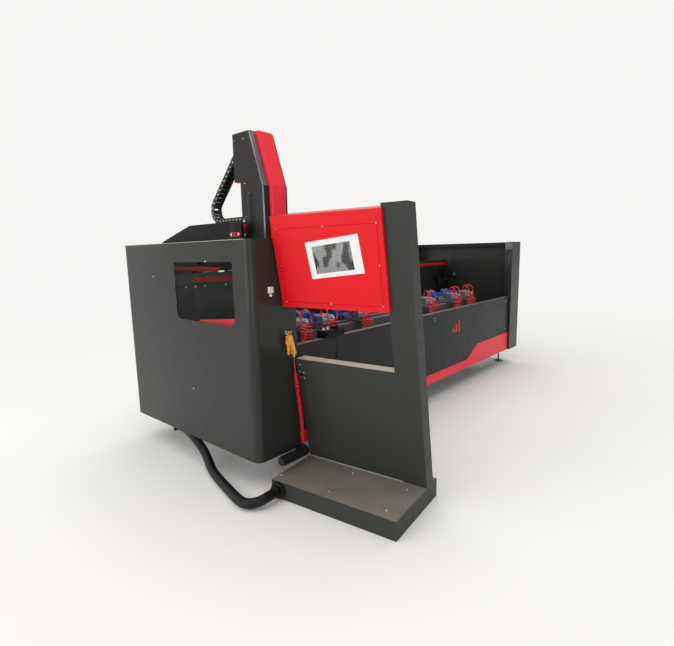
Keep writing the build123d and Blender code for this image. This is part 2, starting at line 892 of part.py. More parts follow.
# Clamp rails and six clamps
clamp_shares = (0.0659, 0.1523, 0.287, 0.6245, 0.7938, 0.8941)
clamp_width = 124.0
clamp_rail_width = 20.0
clamp_rail_height = 20.0
clamp_rail_pitch = 140.0
clamp_plate_gap = 5.0
clamp_plate = 18.0
runner_width = 48.0
runner_length = 110.0
clamp_front_lap = 45.0
clamp_rear_lap = 25.0
fixed_jaw_depth = 40.0
fixed_jaw_height = 67.0
pad_depth = 10.0
pad_edge = 4.0
cylinder_depth = 75.0
cylinder_height = 60.0
rest_width = 26.0
rest_height = 15.0
rest_pitch = 70.0
jaw_width = 116.0
jaw_depth = 18.0
jaw_height = 47.0
jaw_lift = 3.0
jaw_gap = 12.0
rod_radius = 8.0
rod_pitch = 70.0
rod_length = 86.0
rod_height = 32.0
fitting_side = 18.0
fitting_reach = 52.0
fitting_drop = 23.0
clamp_front = table_front - clamp_front_lap
clamp_rear = table_rear + clamp_rear_lap
clamp_middle_y = table_front + table_width / 2
clamp_xs = [table_left + share * (table_right - table_left) for share in clamp_shares]
rail_top = table_top + clamp_rail_height
plate_bottom = rail_top + clamp_plate_gap
plate_top = plate_bottom + clamp_plate
cylinder_rear = clamp_front + cylinder_depth
fixed_jaw_front = clamp_rear - fixed_jaw_depth
jaw_front = cylinder_rear + jaw_gap
jaw_rear = jaw_front + jaw_depth
rod_z = plate_top + rod_height
fitting_bottom = plate_top + cylinder_height - fitting_drop
with BuildPart() as table_rails:
    with BuildSketch(Plane.XY.offset(table_top)):
        with Locations((table_middle_x, clamp_middle_y)):
            with GridLocations(0, clamp_rail_pitch, 1, 2):
                Rectangle(table_right - table_left, clamp_rail_width)
    extrude(amount=clamp_rail_height)
save(table_rails, "table_rails")


def clamp_carriage(x):
    """Sliding clamp body: plate, runners, cylinder block, fixed jaw with pad, and rest bars."""
    half = clamp_width / 2
    with BuildPart() as carriage:
        bar((x - half, x + half), (clamp_front, clamp_rear), (plate_bottom, plate_top))
        for side in (-1, 1):
            rail_y = clamp_middle_y + side * clamp_rail_pitch / 2
            bar(
                (x - runner_length / 2, x + runner_length / 2),
                (rail_y - runner_width / 2, rail_y + runner_width / 2),
                (table_top + slip + sheet, plate_bottom),
            )
            bar(
                (x - half, x + half),
                (rail_y - clamp_rail_width / 2 - slip, rail_y + clamp_rail_width / 2 + slip),
                (table_top, rail_top + slip),
                mode=Mode.SUBTRACT,
            )
            bar(
                (x + side * rest_pitch / 2 - rest_width / 2, x + side * rest_pitch / 2 + rest_width / 2),
                (cylinder_rear, fixed_jaw_front),
                (plate_top, plate_top + rest_height),
            )
        bar(
            (x - half, x + half),
            (clamp_front, cylinder_rear),
            (plate_top, plate_top + cylinder_height),
        )
        bar(
            (x - half, x + half),
            (fixed_jaw_front, clamp_rear),
            (plate_top, plate_top + fixed_jaw_height),
        )
        bar(
            (x - half + pad_edge, x + half - pad_edge),
            (fixed_jaw_front - pad_depth, fixed_jaw_front),
            (plate_top + rest_height, plate_top + fixed_jaw_height - pad_edge),
        )
        bar(
            (x - fitting_side / 2, x + fitting_side / 2),
            (clamp_front - fitting_reach, clamp_front),
            (fitting_bottom, fitting_bottom + fitting_side),
        )
        with BuildSketch(Plane.XZ.offset(-cylinder_rear)):
            with Locations((x, rod_z)):
                with GridLocations(rod_pitch, 0, 2, 1):
                    Circle(rod_radius + shaft_slip)
        extrude(amount=cylinder_depth - sheet, mode=Mode.SUBTRACT)
    return carriage


def clamp_jaw(x):
    """Pushed jaw on two rods, with its soft pad."""
    half = jaw_width / 2
    jaw_bottom = plate_top + rest_height + jaw_lift
    with BuildPart() as jaw:
        bar((x - half, x + half), (jaw_front, jaw_rear), (jaw_bottom, jaw_bottom + jaw_height))
        bar(
            (x - half + pad_edge, x + half - pad_edge),
            (jaw_rear, jaw_rear + pad_depth),
            (jaw_bottom, jaw_bottom + jaw_height - pad_edge),
        )
        with BuildSketch(Plane.XZ.offset(-jaw_front)):
            with Locations((x, rod_z)):
                with GridLocations(rod_pitch, 0, 2, 1):
                    Circle(rod_radius)
        extrude(amount=rod_length - jaw_gap)
    return jaw


for number, clamp_x in enumerate(clamp_xs, 1):
    save(clamp_carriage(clamp_x), f"clamp_{number}_carriage")
    save(clamp_jaw(clamp_x), f"clamp_{number}_jaw")

# Coiled air hoses of the clamps, as the outer form of each coil
coil_diameter = 75.0
coil_gap = 4.0
coil_y = clamp_front - coil_gap - coil_diameter / 2
with BuildPart() as clamp_hoses:
    with BuildSketch(Plane.XY.offset(hose_rail_top)):
        with Locations([(clamp_x, coil_y) for clamp_x in clamp_xs]):
            Circle(coil_diameter / 2)
    extrude(amount=fitting_bottom - hose_rail_top)
save(clamp_hoses, "clamp_hoses")

# Control console: a leaning stand on a plinth
console_right = Vector(cos(turn), sin(turn), 0)
console_away = Vector(sin(turn), -cos(turn), 0)
console_corner = Vector(left_x + console_inset, front_y - console_gap, 0)
console_side = Plane(origin=console_corner, x_dir=console_right, z_dir=console_away)
panel_foot = console_corner + console_right * panel_setback + Vector(0, 0, plinth_height)
face_normal = console_right * -cos(lean) - Vector(0, 0, sin(lean))
console_back = Plane(origin=panel_foot, x_dir=console_away, z_dir=face_normal)


def lean_x(z):
    """Setback of the leaning face from the plinth's edge at a height."""
    return panel_setback - tan(lean) * (z - plinth_height)


def lean_v(z):
    """Distance up the leaning face to a height."""
    return (z - plinth_height) / cos(lean)


def leaning_slab(top):
    """Side outline of a leaning wall from the plinth up to a height."""
    return [
        (lean_x(plinth_height), plinth_height),
        (lean_x(plinth_height) + panel_thickness, plinth_height),
        (lean_x(top) + panel_thickness, top),
        (lean_x(top), top),
    ]


with BuildPart() as console_stand:
    outline_prism(
        console_side,
        [(0, 0), (plinth_depth, 0), (plinth_depth, plinth_height), (0, plinth_height)],
        plinth_length,
    )
    outline_prism(
        console_side.offset(sheet),
        [
            (sheet, -overrun),
            (plinth_depth - sheet, -overrun),
            (plinth_depth - sheet, plinth_height - sheet),
            (sheet, plinth_height - sheet),
        ],
        plinth_length - 2 * sheet,
        mode=Mode.SUBTRACT,
    )
    outline_prism(console_side, leaning_slab(panel_top), plinth_length)
    outline_prism(console_side.offset(plinth_length - post_width), leaning_slab(post_top), post_width)
save(console_stand, "console_stand")

# Console head: housing, back tray, fascia and screen
box_width = plinth_length - post_width
box_height = lean_v(box_top) - lean_v(box_bottom)
box_u = box_width / 2
box_v = (lean_v(box_top) + lean_v(box_bottom)) / 2
tray_width = box_width + tray_lap + tray_overhang
tray_u = box_u + (tray_lap - tray_overhang) / 2
fascia_margin = 14.0
fascia_thickness = 5.0
screen_width = 400.0
screen_height = 300.0
screen_u = -70.0
screen_v = 55.0
screen_gap = 1.0
screen_thickness = 4.0
button_row_v = -165.0
stop_inset = 96.5
start_aside = 100.0
mode_aside = 90.0
stop_stem = 8.0
start_stem = 12.0
mode_stem = 6.0
stem_depth = 30.0
stop_u = box_u - stop_inset
start_u = stop_u - start_aside
mode_u = start_u - mode_aside
operator_middle = console_back.offset(-box_depth).from_local_coords((box_u, box_v, 0))
operator_face = Plane(origin=operator_middle, x_dir=-console_away, z_dir=-face_normal)
fascia_face = operator_face.offset(fascia_thickness)
button_stems = ((stop_u, stop_stem), (start_u, start_stem), (mode_u, mode_stem))
with BuildPart() as console_box:
    with BuildSketch(console_back):
        with Locations((box_u, box_v)):
            Rectangle(box_width, box_height)
    extrude(amount=-box_depth)
    for stem_u, stem_radius in button_stems:
        disc(operator_face, (stem_u, button_row_v), stem_radius + shaft_slip, -stem_depth, Mode.SUBTRACT)
save(console_box, "console_box")

with BuildPart() as console_tray:
    with BuildSketch(console_back):
        with Locations((tray_u, box_v)):
            Rectangle(tray_width, box_height)
    extrude(amount=tray_depth)
    with BuildSketch(console_back.offset(tray_depth)):
        with Locations((tray_u, box_v)):
            Rectangle(tray_width - 2 * tray_margin, box_height - 2 * tray_margin)
    extrude(amount=tray_raise)
save(console_tray, "console_tray")

with BuildPart() as console_fascia:
    with BuildSketch(operator_face):
        Rectangle(box_width - 2 * fascia_margin, box_height - 2 * fascia_margin)
        with Locations((screen_u, screen_v)):
            Rectangle(screen_width, screen_height, mode=Mode.SUBTRACT)
        for stem_u, stem_radius in button_stems:
            with Locations((stem_u, button_row_v)):
                Circle(stem_radius + shaft_slip, mode=Mode.SUBTRACT)
    extrude(amount=fascia_thickness)
save(console_fascia, "console_fascia")

with BuildPart() as console_screen:
    with BuildSketch(operator_face):
        with Locations((screen_u, screen_v)):
            Rectangle(screen_width - 2 * screen_gap, screen_height - 2 * screen_gap)
    extrude(amount=screen_thickness)
save(console_screen, "console_screen")

# Operator's buttons on the fascia
stop_head = 20.0
stop_height = 16.0
stop_dome = 5.0
stop_travel = 6.0
start_height = 8.0
start_edge = 2.0
mode_radius = 15.0
mode_height = 18.0
mode_grip = 6.0
mode_grip_length = 26.0
button_gap = 0.5
with BuildPart() as stop_button:
    stop_face = fascia_face.offset(stop_travel + button_gap)
    disc(stop_face, (stop_u, button_row_v), stop_head, stop_height)
    top_face = stop_button.faces().sort_by(Axis(operator_middle, operator_face.z_dir))[-1]
    fillet(top_face.edges(), stop_dome)
    stop_reach = stop_travel + fascia_thickness + stem_depth / 2
    disc(stop_face, (stop_u, button_row_v), stop_stem, -stop_reach)
save(stop_button, "stop_button")

with BuildPart() as start_button:
    start_reach = start_height + stem_depth / 2
    disc(fascia_face.offset(start_height), (start_u, button_row_v), start_stem, -start_reach)
    top_face = start_button.faces().sort_by(Axis(operator_middle, operator_face.z_dir))[-1]
    fillet(top_face.edges(), start_edge)
save(start_button, "start_button")

with BuildPart() as mode_knob:
    knob_face = fascia_face.offset(button_gap)
    disc(knob_face, (mode_u, button_row_v), mode_radius, mode_height / 3)
    with BuildSketch(knob_face.offset(mode_height / 3)):
        with Locations((mode_u, button_row_v)):
            Rectangle(mode_grip, mode_grip_length)
    extrude(amount=2 * mode_height / 3)
    disc(knob_face, (mode_u, button_row_v), mode_stem, -(fascia_thickness + stem_depth / 2))
save(mode_knob, "mode_knob")

# Printed sheet fixed on the tray
sheet_u = 397.0
sheet_v_height = 1429.0
sheet_width = 348.0
sheet_height = 207.0
sheet_thickness = 1.0
sheet_tilt = 6.0
with BuildPart() as notice_sheet:
    with BuildSketch(console_back.offset(tray_depth + tray_raise)):
        with Locations((sheet_u, lean_v(sheet_v_height))):
            Rectangle(sheet_width, sheet_height, rotation=sheet_tilt)
    extrude(amount=sheet_thickness)
save(notice_sheet, "notice_sheet")

# Hand pendant that lies on the front panel's lip
pendant_inset = 290.0
pendant_length = 210.0
pendant_width = 78.0
pendant_height = 52.0
pendant_edge = 8.0
pendant_overhang = 4.0
wheel_radius = 31.0
wheel_height = 16.0
wheel_share = 0.68
crank_radius = 6.0
crank_height = 14.0
knob_radius = 11.0
knob_height = 16.0
knob_grip = 6.0
knob_grip_length = 18.0
knob_shares = (0.13, 0.33)
pin_radius = 4.0
pin_depth = 12.0
pendant_left = left_inner + pendant_inset
pendant_front = panel_face - pendant_overhang
pendant_top = front_top + pendant_height
pendant_y = pendant_front + pendant_width / 2
wheel_x = pendant_left + wheel_share * pendant_length
knob_xs = [pendant_left + share * pendant_length for share in knob_shares]
lead_stub_radius = 7.0
lead_stub = 14.0
lead_inset = 16.0
lead_x = pendant_left + lead_inset
lead_height = 26.0
with BuildPart() as pendant_body:
    bar(
        (pendant_left, pendant_left + pendant_length),
        (pendant_front, pendant_front + pendant_width),
        (front_top, pendant_top),
    )
    fillet(pendant_body.edges().filter_by(Axis.Z), pendant_edge)
    for pin_x in (wheel_x, *knob_xs):
        disc(
            Plane.XY.offset(pendant_top),
            (pin_x, pendant_y),
            pin_radius + shaft_slip,
            -pin_depth,
            mode=Mode.SUBTRACT,
        )
    disc(Plane.XZ.offset(-pendant_front), (lead_x, front_top + lead_height), lead_stub_radius, lead_stub)
save(pendant_body, "pendant_body")

with BuildPart() as pendant_wheel:
    wheel_base = Plane.XY.offset(pendant_top + button_gap)
    disc(wheel_base, (wheel_x, pendant_y), wheel_radius, wheel_height)
    crank_x = wheel_x + wheel_radius - 2 * crank_radius
    disc(wheel_base.offset(wheel_height), (crank_x, pendant_y), crank_radius, crank_height)
    disc(wheel_base, (wheel_x, pendant_y), pin_radius, -pin_depth + slip)
save(pendant_wheel, "pendant_wheel")

for knob_name, knob_x in zip(("axis_knob", "step_knob"), knob_xs):
    with BuildPart() as pendant_knob:
        knob_base = Plane.XY.offset(pendant_top + button_gap)
        with BuildSketch(knob_base):
            with Locations((knob_x, pendant_y)):
                Circle(knob_radius)
        extrude(amount=knob_height / 2)
        with BuildSketch(knob_base.offset(knob_height / 2)):
            with Locations((knob_x, pendant_y)):
                Rectangle(knob_grip, knob_grip_length)
        extrude(amount=knob_height / 2)
        disc(knob_base, (knob_x, pendant_y), pin_radius, -pin_depth + slip)
    save(pendant_knob, f"pendant_{knob_name}")

# Air gun on its hook, on the left guard's front
gun_inset = 256.0
gun_height = 125.0
gun_thickness = 26.0
gun_off = 19.0
gun_top = 955.0
gun_round = 5.0
gun_shares = (
    (-0.12, 0),
    (0.13, 0),
    (0.17, -0.24),
    (0.36, -0.94),
    (0.20, -1),
    (0.02, -0.44),
    (-0.17, -0.42),
)
eye_radius = 14.0
eye_hole = 8.0
eye_rise = 12.0
eye_thickness = 8.0
lever_shares = (
    (-0.18, -0.22),
    (-0.05, -0.17),
    (-0.03, -0.42),
    (-0.03, -0.92),
    (-0.11, -0.95),
    (-0.16, -0.42),
)
lever_slot = 10.0
lever_slot_shares = (-0.25, 0.02, -0.50, -0.11)
lever_pin = 3.0
lever_pin_shares = (-0.10, -0.27)
tail_shares = (0.28, -0.94, -1.10)
tail_radius = 7.0
hook_radius = 3.0
hook_reach = 52.0
hook_tip = 14.0
hook_bend = 6.0
hook_plate_radius = 12.0
hook_plate = 3.0
gun_x = left_x + gun_inset
gun_near = front_y - gun_off
gun_mid = gun_near - gun_thickness / 2
pin_place = (gun_x + lever_pin_shares[0] * gun_height, gun_top + lever_pin_shares[1] * gun_height)
tail_x = gun_x + tail_shares[0] * gun_height
tail_bottom = gun_top + tail_shares[2] * gun_height


def gun_points(shares):
    """Outline points of the gun, given as shares of its height."""
    return [(gun_x + a * gun_height, gun_top + b * gun_height) for a, b in shares]


with BuildPart() as gun_body:
    with BuildSketch(Plane.XZ.offset(-gun_near)) as gun_outline:
        with BuildLine():
            Polyline(*gun_points(gun_shares), close=True)
        make_face()
        fillet(gun_outline.vertices(), gun_round)
    extrude(amount=gun_thickness)
    eye_place = (gun_x, gun_top + eye_rise)
    disc(Plane.XZ.offset(-gun_mid - eye_thickness / 2), eye_place, eye_radius, eye_thickness)
    disc(Plane.XZ.offset(-gun_near), eye_place, eye_hole, gun_thickness, Mode.SUBTRACT)
    bar(
        (gun_x + lever_slot_shares[0] * gun_height, gun_x + lever_slot_shares[1] * gun_height),
        (gun_mid - lever_slot / 2, gun_mid + lever_slot / 2),
        (gun_top + lever_slot_shares[2] * gun_height, gun_top + lever_slot_shares[3] * gun_height),
        mode=Mode.SUBTRACT,
    )
    disc(Plane.XZ.offset(-gun_near), pin_place, lever_pin, gun_thickness)
    disc(
        Plane.XY.offset(gun_top + tail_shares[1] * gun_height),
        (tail_x, gun_mid),
        tail_radius,
        tail_bottom - gun_top - tail_shares[1] * gun_height,
    )
save(gun_body, "gun_body")

with BuildPart() as gun_trigger:
    outline_prism(
        Plane.XZ.offset(-gun_mid - lever_slot / 2 + slip), gun_points(lever_shares), lever_slot - 2 * slip
    )
    disc(Plane.XZ.offset(-gun_near), pin_place, lever_pin + shaft_slip, gun_thickness, Mode.SUBTRACT)
save(gun_trigger, "gun_trigger")

with BuildPart() as gun_hook:
    hook_z = gun_top + eye_rise + eye_hole - hook_radius - slip
    disc(Plane.XZ.offset(-front_y), (gun_x, hook_z), hook_plate_radius, hook_plate)
    hook_y = front_y - hook_reach
    with BuildLine() as hook_path:
        FilletPolyline(
            (gun_x, front_y, hook_z),
            (gun_x, hook_y, hook_z),
            (gun_x, hook_y, hook_z + hook_tip),
            radius=hook_bend,
        )
    with BuildSketch(Plane(origin=hook_path.line @ 0, z_dir=hook_path.line % 0)):
        Circle(hook_radius)
    sweep()
save(gun_hook, "gun_hook")

# Air service unit under the left guard's front edge
unit_inset = 135.0
unit_length = 225.0
unit_radius = 32.0
unit_cap_radius = 27.0
unit_cap = 20.0
unit_z = 184.0
unit_off = 46.0
port_inset = 192.0
port_radius = 11.0
port_top = 236.0
bracket_width = 60.0
bracket_bottom = 200.0
bracket_height = 14.0
unit_left = left_x + unit_inset
port_x = unit_left + port_inset
unit_y = front_y - unit_off
with BuildPart() as air_unit:
    disc(Plane.YZ.offset(unit_left), (unit_y, unit_z), unit_cap_radius, unit_length)
    disc(Plane.YZ.offset(unit_left + unit_cap), (unit_y, unit_z), unit_radius, unit_length - 2 * unit_cap)
    disc(Plane.XY.offset(unit_z), (port_x, unit_y), port_radius, port_top - unit_z)
    bar(
        (port_x - bracket_width / 2, port_x + bracket_width / 2),
        (unit_y, front_y),
        (bracket_bottom, bracket_bottom + bracket_height),
    )
save(air_unit, "air_unit")

# Conduit glands and the pendant's socket
conduit_diameter = 58.0
gland_radius = 32.0
flange_radius = 46.0
flange_thickness = 10.0
gland_length = 36.0
gland_rib_radius = 36.0
gland_rib = 6.0
gland_rib_count = 2
gland_away = 60.0
gland_z = 58.0
bed_gland_inset = 50.0
bed_gland_setback = 1000.0
bed_gland_z = 195.0
bed_plate_inset = 14.0
bed_plate_bottom = 160.0
bed_plate_top = 240.0
bed_plate_thickness = 6.0
bed_gland_length = 28.0
socket_inset = 250.0
socket_width = 40.0
socket_depth = 51.0
socket_bottom = 420.0
socket_top = 470.0
bed_gland_x = left_x + bed_gland_inset
bed_gland_y = front_y + bed_gland_setback
bed_plate_left = left_x + bed_plate_inset
socket_x = left_inner + socket_inset
gland_foot = console_corner + console_away * gland_away + Vector(0, 0, gland_z)
gland_face = Plane(origin=gland_foot, x_dir=console_away, z_dir=-console_right)
with BuildPart() as hose_glands:
    disc(gland_face, (0, 0), flange_radius, flange_thickness)
    disc(gland_face, (0, 0), gland_radius, gland_length)
    for rib in range(gland_rib_count):
        rib_start = flange_thickness + (2 * rib + 1) * gland_rib
        disc(gland_face.offset(rib_start), (0, 0), gland_rib_radius, gland_rib)
    bar(
        (bed_plate_left, left_x + frame_end_inset),
        (bed_gland_y, bed_gland_y + bed_plate_thickness),
        (bed_plate_bottom, bed_plate_top),
    )
    disc(Plane.XZ.offset(-bed_gland_y), (bed_gland_x, bed_gland_z), gland_radius, bed_gland_length)
    bar(
        (socket_x - socket_width / 2, socket_x + socket_width / 2),
        (panel_face - socket_depth, panel_face),
        (socket_bottom, socket_top),
    )
save(hose_glands, "hose_glands")

# Conduit that lies on the floor from the bed to the console
conduit_points = (
    (50.0, 972.0, 195.0),
    (50.0, 895.0, 195.0),
    (45.0, 815.0, 178.0),
    (35.0, 728.0, 147.0),
    (26.0, 640.0, 112.0),
    (0.0, 545.0, 72.0),
    (-35.0, 455.0, 41.0),
    (-68.0, 330.0, 31.0),
    (-100.0, 200.0, 30.5),
    (-135.0, 62.0, 30.0),
    (-150.0, -25.0, 33.0),
    (-138.0, -72.0, 39.0),
    (-105.0, -109.0, 48.0),
)
conduit_lead = 80.0
conduit_end = gland_foot - console_right * gland_length
conduit_last = conduit_end - console_right * conduit_lead
conduit_route = [(left_x + x, front_y + y, z) for x, y, z in conduit_points]
conduit_route += [tuple(conduit_last), tuple(conduit_end)]
console_hose = cord_tube(conduit_route, conduit_diameter)
save(console_hose, "console_hose")

# Curly lead of the hand pendant, as the outer form of its coil
lead_diameter = 16.0
lead_points = (
    (656.0, -19.0, 895.0),
    (655.0, -48.0, 887.0),
    (652.0, -70.0, 868.0),
    (648.0, -80.0, 840.0),
    (643.0, -81.0, 804.0),
    (637.0, -72.0, 752.0),
    (627.0, -53.0, 683.0),
    (616.0, -32.0, 612.0),
    (606.0, -14.0, 560.0),
    (600.0, -6.0, 515.0),
)
lead_start = (lead_x, pendant_front - lead_stub, front_top + lead_height)
lead_end = (socket_x, panel_face - socket_depth + socket_width / 2, socket_top)
lead_route = [lead_start] + [(left_x + x, front_y + y, z) for x, y, z in lead_points] + [lead_end]
pendant_lead = cord_tube(lead_route, lead_diameter)
save(pendant_lead, "pendant_lead")

# Curly air hose of the gun, as the outer form of its coil
gun_hose_diameter = 28.0
gun_hose_points = (
    (292.0, -33.0, 750.0),
    (298.0, -39.0, 650.0),
    (309.0, -43.0, 540.0),
    (320.0, -46.0, 430.0),
    (327.0, -46.0, 320.0),
)
gun_hose_route = [(tail_x, gun_mid, tail_bottom)]
gun_hose_route += [(left_x + x, front_y + y, z) for x, y, z in gun_hose_points]
gun_hose_route += [(port_x, unit_y, port_top)]
gun_hose = cord_tube(gun_hose_route, gun_hose_diameter)
save(gun_hose, "gun_hose")
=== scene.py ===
"""Looks of the long-bed machining center: finishes, cords, chain and small trim on its frame.

Metres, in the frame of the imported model. X runs along the bed, and the working side faces -Y.
"""

import json
from contextlib import contextmanager
from math import atan2, cos, hypot, pi, radians, sin, sqrt

import bmesh
import bpy
from mathutils import Matrix, Vector


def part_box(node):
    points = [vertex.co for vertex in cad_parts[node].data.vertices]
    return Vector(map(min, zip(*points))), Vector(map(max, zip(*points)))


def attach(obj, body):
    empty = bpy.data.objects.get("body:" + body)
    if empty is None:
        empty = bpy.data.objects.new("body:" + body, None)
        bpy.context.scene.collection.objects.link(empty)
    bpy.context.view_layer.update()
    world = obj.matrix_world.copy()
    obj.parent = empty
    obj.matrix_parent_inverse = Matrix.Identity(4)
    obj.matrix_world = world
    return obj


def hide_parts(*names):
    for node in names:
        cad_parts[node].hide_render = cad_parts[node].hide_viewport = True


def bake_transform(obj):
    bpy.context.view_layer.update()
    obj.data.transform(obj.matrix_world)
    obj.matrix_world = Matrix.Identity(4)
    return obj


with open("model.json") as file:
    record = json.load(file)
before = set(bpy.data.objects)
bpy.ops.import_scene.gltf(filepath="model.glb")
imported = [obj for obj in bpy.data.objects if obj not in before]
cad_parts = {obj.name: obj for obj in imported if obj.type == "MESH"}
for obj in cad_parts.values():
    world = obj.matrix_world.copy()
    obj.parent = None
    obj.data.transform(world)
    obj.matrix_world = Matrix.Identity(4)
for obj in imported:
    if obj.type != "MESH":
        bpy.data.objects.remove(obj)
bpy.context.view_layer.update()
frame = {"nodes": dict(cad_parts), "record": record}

left_x, front_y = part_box("left_guard")[0].xy


def spot(x, y, z):
    """A place measured from the machine's left front corner and the floor."""
    return Vector((left_x + x, front_y + y, z))


# Colours and shader nodes

finishes = {}


def tint(red, green, blue):
    """A colour given as a screen shows it, 0 to 255, in linear light."""
    levels = []
    for value in (red / 255, green / 255, blue / 255):
        levels.append(value / 12.92 if value <= 0.04045 else ((value + 0.055) / 1.055) ** 2.4)
    return (*levels, 1.0)


def new_finish(name):
    """A material with its shader, ready for nodes, kept in the list of finishes."""
    material = bpy.data.materials.new(name)
    material.use_nodes = True
    finishes[name] = material
    tree = material.node_tree
    return material, tree, tree.nodes["Principled BSDF"]


def object_place(tree, stretch=(1, 1, 1)):
    """Object coordinates, stretched along each axis."""
    place = tree.nodes.new("ShaderNodeTexCoord")
    mapping = tree.nodes.new("ShaderNodeMapping")
    mapping.inputs["Scale"].default_value = stretch
    tree.links.new(place.outputs["Object"], mapping.inputs["Vector"])
    return mapping.outputs["Vector"]


def noise(tree, scale, detail=4.0, stretch=(1, 1, 1)):
    """Soft random field in object space."""
    texture = tree.nodes.new("ShaderNodeTexNoise")
    texture.inputs["Scale"].default_value = scale
    texture.inputs["Detail"].default_value = detail
    tree.links.new(object_place(tree, stretch), texture.inputs["Vector"])
    return texture.outputs["Fac"]


def remap(tree, value, low, high, new_low=0, new_high=1):
    """Carries a value from one range to another, held at the ends."""
    node = tree.nodes.new("ShaderNodeMapRange")
    for socket, number in zip(("From Min", "From Max", "To Min", "To Max"), (low, high, new_low, new_high)):
        node.inputs[socket].default_value = number
    tree.links.new(value, node.inputs["Value"])
    return node.outputs["Result"]


def times(tree, first, second):
    """Product of two values."""
    node = tree.nodes.new("ShaderNodeMath")
    node.operation = "MULTIPLY"
    for socket, value in zip(node.inputs, (first, second)):
        if isinstance(value, (int, float)):
            socket.default_value = value
        else:
            tree.links.new(value, socket)
    return node.outputs[0]


def blend_colour(tree, share, first, second):
    """Mix of two colours, each a constant or another node's colour."""
    node = tree.nodes.new("ShaderNodeMix")
    node.data_type = "RGBA"
    tree.links.new(share, node.inputs[0])
    for socket, colour in ((node.inputs[6], first), (node.inputs[7], second)):
        if isinstance(colour, tuple):
            socket.default_value = colour
        else:
            tree.links.new(colour, socket)
    return node.outputs[2]


def soft_edge(tree, radius):
    """Normal of the surface with its edges rounded, and a mask of those edges."""
    rounded = tree.nodes.new("ShaderNodeBevel")
    rounded.samples = 4
    rounded.inputs["Radius"].default_value = radius
    flat = tree.nodes.new("ShaderNodeNewGeometry")
    match = tree.nodes.new("ShaderNodeVectorMath")
    match.operation = "DOT_PRODUCT"
    tree.links.new(rounded.outputs["Normal"], match.inputs[0])
    tree.links.new(flat.outputs["Normal"], match.inputs[1])
    return rounded.outputs["Normal"], remap(tree, match.outputs["Value"], 0.985, 0.86)


def upward(tree):
    """How far the surface looks up: where a dusting gathers, and where painted light from above is laid."""
    normal = tree.nodes.new("ShaderNodeNewGeometry")
    parts = tree.nodes.new("ShaderNodeSeparateXYZ")
    tree.links.new(normal.outputs["Normal"], parts.inputs[0])
    return remap(tree, parts.outputs["Z"], 0.4, 0.95)


def relief(tree, shader, height, strength, depth, normal=None):
    """Fine bumps on the surface."""
    bump = tree.nodes.new("ShaderNodeBump")
    bump.inputs["Strength"].default_value = strength
    bump.inputs["Distance"].default_value = depth
    tree.links.new(height, bump.inputs["Height"])
    if normal is not None:
        tree.links.new(normal, bump.inputs["Normal"])
    tree.links.new(bump.outputs["Normal"], shader.inputs["Normal"])


def above_floor(tree, low_share):
    """Less near the floor, in full from half a metre up."""
    parts = tree.nodes.new("ShaderNodeSeparateXYZ")
    tree.links.new(object_place(tree), parts.inputs[0])
    return remap(tree, parts.outputs["Z"], 0.15, 0.5, low_share, 1)


def show(tree, shader, colour, sheen):
    """Links a finish's colour and its roughness."""
    tree.links.new(colour, shader.inputs["Base Color"])
    tree.links.new(sheen, shader.inputs["Roughness"])


def paint(
    name,
    tone,
    shade,
    rough,
    edge_wear_and_highlight_tone,
    wear=0.5,
    dust_and_top_light=0.12,
    gloss=0.5,
    coat=0.0,
    dust_and_top_light_tone=(160, 150, 144),
    low_share=1.0,
):
    """Powder coat on sheet metal: cloudy tone, orange peel, edges lightened as worn paint and as a painted
    highlight, and top faces lightened by a dusting and by painted light from above.
    """
    material, tree, shader = new_finish(name)
    clouds = remap(tree, noise(tree, scale=1.4, detail=3), 0.35, 0.65)
    colour = blend_colour(tree, clouds, tint(*tone), tint(*shade))
    rounded, edges = soft_edge(tree, 0.003)
    # Lightened edges: partly worn paint, partly a painted highlight where edges catch the light; wear sets
    # how strong both are.
    edge_patchiness = remap(tree, noise(tree, scale=35, detail=5), 0.3, 0.62, 0.25 * wear, wear)
    rubbed_and_highlit = times(tree, edges, edge_patchiness)
    colour = blend_colour(tree, rubbed_and_highlit, colour, tint(*edge_wear_and_highlight_tone))
    # Lightened top faces: a dusting, and painted light from above where the share is set high, fullest on the
    # console's ledge.
    patches = remap(tree, noise(tree, scale=7, detail=6), 0.35, 0.75, 0.75 * dust_and_top_light, dust_and_top_light)
    top_dust_and_light = times(tree, upward(tree), patches)
    top_dust_and_light = times(tree, top_dust_and_light, above_floor(tree, low_share))
    colour = blend_colour(tree, top_dust_and_light, colour, tint(*dust_and_top_light_tone))
    sheen = remap(tree, noise(tree, scale=22, detail=4), 0.3, 0.7, rough - 0.05, rough + 0.07)
    show(tree, shader, colour, sheen)
    shader.inputs["Specular IOR Level"].default_value = gloss
    shader.inputs["Coat Weight"].default_value = coat
    shader.inputs["Coat Roughness"].default_value = 0.12
    relief(tree, shader, noise(tree, scale=900, detail=2), 0.08, 0.0006, rounded)
    return material


def steel(name, tone, rough, grain):
    """Bare metal with drawn grain, faint stains and bright edges."""
    material, tree, shader = new_finish(name)
    rounded, edges = soft_edge(tree, 0.0015)
    stains = remap(tree, noise(tree, scale=9, detail=6), 0.5, 0.75, 0, 0.55)
    colour = blend_colour(tree, stains, tint(*tone), tint(70, 66, 62))
    colour = blend_colour(tree, times(tree, edges, 0.5), colour, tint(222, 222, 220))
    lines = noise(tree, scale=12, detail=3, stretch=grain)
    show(tree, shader, colour, remap(tree, lines, 0.3, 0.7, rough - 0.07, rough + 0.1))
    shader.inputs["Metallic"].default_value = 1.0
    relief(tree, shader, lines, 0.12, 0.0004, rounded)
    return material


